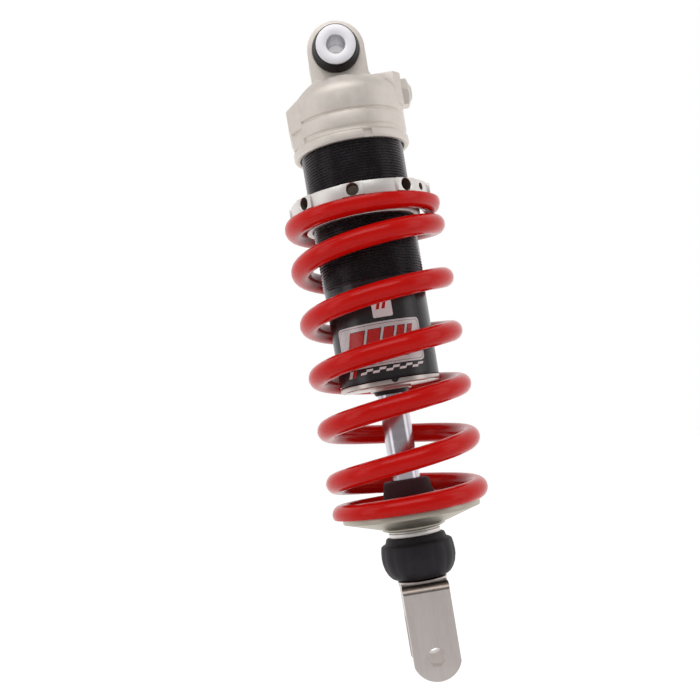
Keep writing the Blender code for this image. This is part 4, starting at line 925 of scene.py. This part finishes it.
def build_clevis():
    """The forked foot: a block with rounded shoulders, a slot, a bolt hole and a turned neck on top."""
    hole = -330 * MM
    half_width, half_depth, end_radius = 12.65 * MM, 20 * MM, 13.3 * MM
    shoulder, neck_top, stem_top = hole + 39 * MM, hole + 40.7 * MM, high("clevis")
    across = Matrix.Rotation(math.pi / 2, 4, "Z") @ TO_FRONT
    meet = math.degrees(math.asin(half_width / end_radius))
    outline = [(half_width, shoulder), (-half_width, shoulder)]
    outline += arc((0, hole), end_radius, -90 - meet, -90 + meet, 40)
    body = plate(outline, -half_depth, half_depth, way=TO_FRONT, edge=0.7 * MM)
    rounding, clear = 5 * MM, 2 * MM
    middle = half_depth - rounding
    wedge = arc((middle, shoulder - rounding), rounding, 90, 0, 10)
    wedge += [(half_depth + clear, shoulder - rounding), (half_depth + clear, shoulder + clear)]
    wedge += [(middle, shoulder + clear)]
    corners = []
    for side in (-1, 1):
        corner = [(side * out, height) for out, height in wedge]
        corners.append(("DIFFERENCE", plate(corner, -20 * MM, 20 * MM, way=across)))
    tang, bend = 7.8 * MM, 4 * MM
    half_gap = half_depth - tang
    root, below = hole + 22 * MM, hole - 20 * MM
    slot = [(half_gap, below)] + arc((half_gap - bend, root - bend), bend, 0, 90, 8)
    slot += arc((bend - half_gap, root - bend), bend, 90, 180, 8) + [(-half_gap, below)]
    neck, collar, foot = 9.9 * MM, 12.6 * MM, shoulder - 6 * MM
    stem = [(0, stem_top), (neck, stem_top), (neck, neck_top), (collar, neck_top)]
    stem += [(13.3 * MM, neck_top - 0.6 * MM), (13.6 * MM, shoulder + 1 * MM), (collar, foot), (0, foot)]
    bore = cylinder(ROD_HOLE, stem_top + 5 * MM, low("piston_rod") - 0.3 * MM)
    bolt, relief = 5 * MM, 0.2 * MM
    past_face = half_depth + clear
    eye = mirrored([(0, past_face), (bolt + clear + relief, past_face), (bolt, half_depth - relief)])
    form = combine(
        body,
        *corners,
        ("UNION", lathe(stem, 128, edge=0.15 * MM)),
        ("DIFFERENCE", plate(slot, -30 * MM, 30 * MM, way=across)),
        ("DIFFERENCE", lathe(eye, 72, way=TO_FRONT, at=(0, 0, hole), edge=0)),
        ("DIFFERENCE", lathe(bore, 64, edge=0)),
    )
    form.normal_update()
    # Faces sloping upwards at the top of the shoulder take the darker finish: painted shade.
    for face in form.faces:
        sloping = face.normal.z > 0.1 and abs(face.normal.y) > 0.05
        if sloping and face.calc_center_median().z > shoulder - rounding:
            face.material_index = 1
    finishes = (brushed_aluminium, milled_aluminium_painted_shade)
    piece(form, "forked_clevis", finishes, "rod_assembly", ("clevis",), sharp=24)


build_head()
build_eye()
build_gas_plug()
build_tube()
build_tube_end()
build_label()
build_ring()
build_spring()
build_rod()
build_seat()
build_knob()
build_clevis()


# Studio, in metres

FLOOR_DROP = 0.25
FLOOR_HALF_WIDTH = 6


def build_studio():
    """A white floor and a white room, darker towards the front so that round metal shows its shape."""
    scene = bpy.context.scene
    scene.view_settings.view_transform = "Standard"
    world = bpy.data.worlds.new("white_room")
    scene.world = world
    world.use_nodes = True
    tree = world.node_tree
    facing = add(tree, "SeparateXYZ", {0: add(tree, "TexCoord").outputs["Generated"]})
    share = add(tree, "MapRange", {"Value": facing.outputs["Y"], "From Min": -0.42, "From Max": 0.58})
    share.interpolation_type = "SMOOTHSTEP"
    grey, white = (0.3, 0.3, 0.3, 1), (1, 1, 1, 1)
    tone = add(tree, "Mix", {0: share.outputs[0], 6: grey, 7: white}, data_type="RGBA")
    tree.links.new(tone.outputs[2], tree.nodes["Background"].inputs["Color"])
    form = bmesh.new()
    bmesh.ops.create_grid(form, x_segments=1, y_segments=1, size=FLOOR_HALF_WIDTH)
    bmesh.ops.translate(form, vec=(0, 0, CAD_BOX[0][2] - FLOOR_DROP), verts=form.verts)
    floor = loose(form, "studio_floor")
    paint = surface("lit_white_floor", "#EAEAEA", "#E7E7E7", 0, (0.8, 0.9), 40, 0.01, Emission_Color=white)
    tree = paint.node_tree
    place = add(tree, "SeparateXYZ", {0: add(tree, "TexCoord").outputs["Object"]})
    glow = add(tree, "MapRange", {"Value": place.outputs["Y"], "From Min": -0.1, "From Max": 0.5, "To Max": 0.55})
    tree.links.new(glow.outputs[0], tree.nodes["Principled BSDF"].inputs["Emission Strength"])
    floor.data.materials.append(paint)


def soft_light(name, at, size, power, towards=(0, 0, -0.17)):
    light = bpy.data.lights.new(name, "AREA")
    light.shape = "RECTANGLE"
    light.size, light.size_y = size
    light.energy = power
    made = bpy.data.objects.new(name, light)
    bpy.context.scene.collection.objects.link(made)
    made.location = at
    made.rotation_euler = (Vector(towards) - Vector(at)).to_track_quat("-Z", "Y").to_euler()


def build_camera():
    lens = bpy.data.cameras.new("camera")
    lens.lens = 51.4
    lens.shift_y = 0.122
    lens.clip_start, lens.clip_end = 0.01, 50
    camera = bpy.data.objects.new("camera", lens)
    bpy.context.scene.collection.objects.link(camera)
    roll = math.radians(9.4)
    right = Vector((math.cos(roll), 0, -math.sin(roll)))
    up = Vector((math.sin(roll), 0, math.cos(roll)))
    matrix = Matrix((right, up, Vector((0, -1, 0)))).transposed().to_4x4()
    camera.matrix_world = Matrix.Translation((-26.4 * MM, -550 * MM, -206.3 * MM)) @ matrix
    bpy.context.scene.camera = camera


build_studio()
soft_light("left_box", (-1.1, -0.5, 0.2), (0.5, 1.2), 1.9)
soft_light("right_box", (1.1, -0.35, 0.1), (0.5, 1.2), 1.7)
soft_light("top_box", (-0.1, -0.8, 0.8), (1.3, 0.6), 5.4)
build_camera()
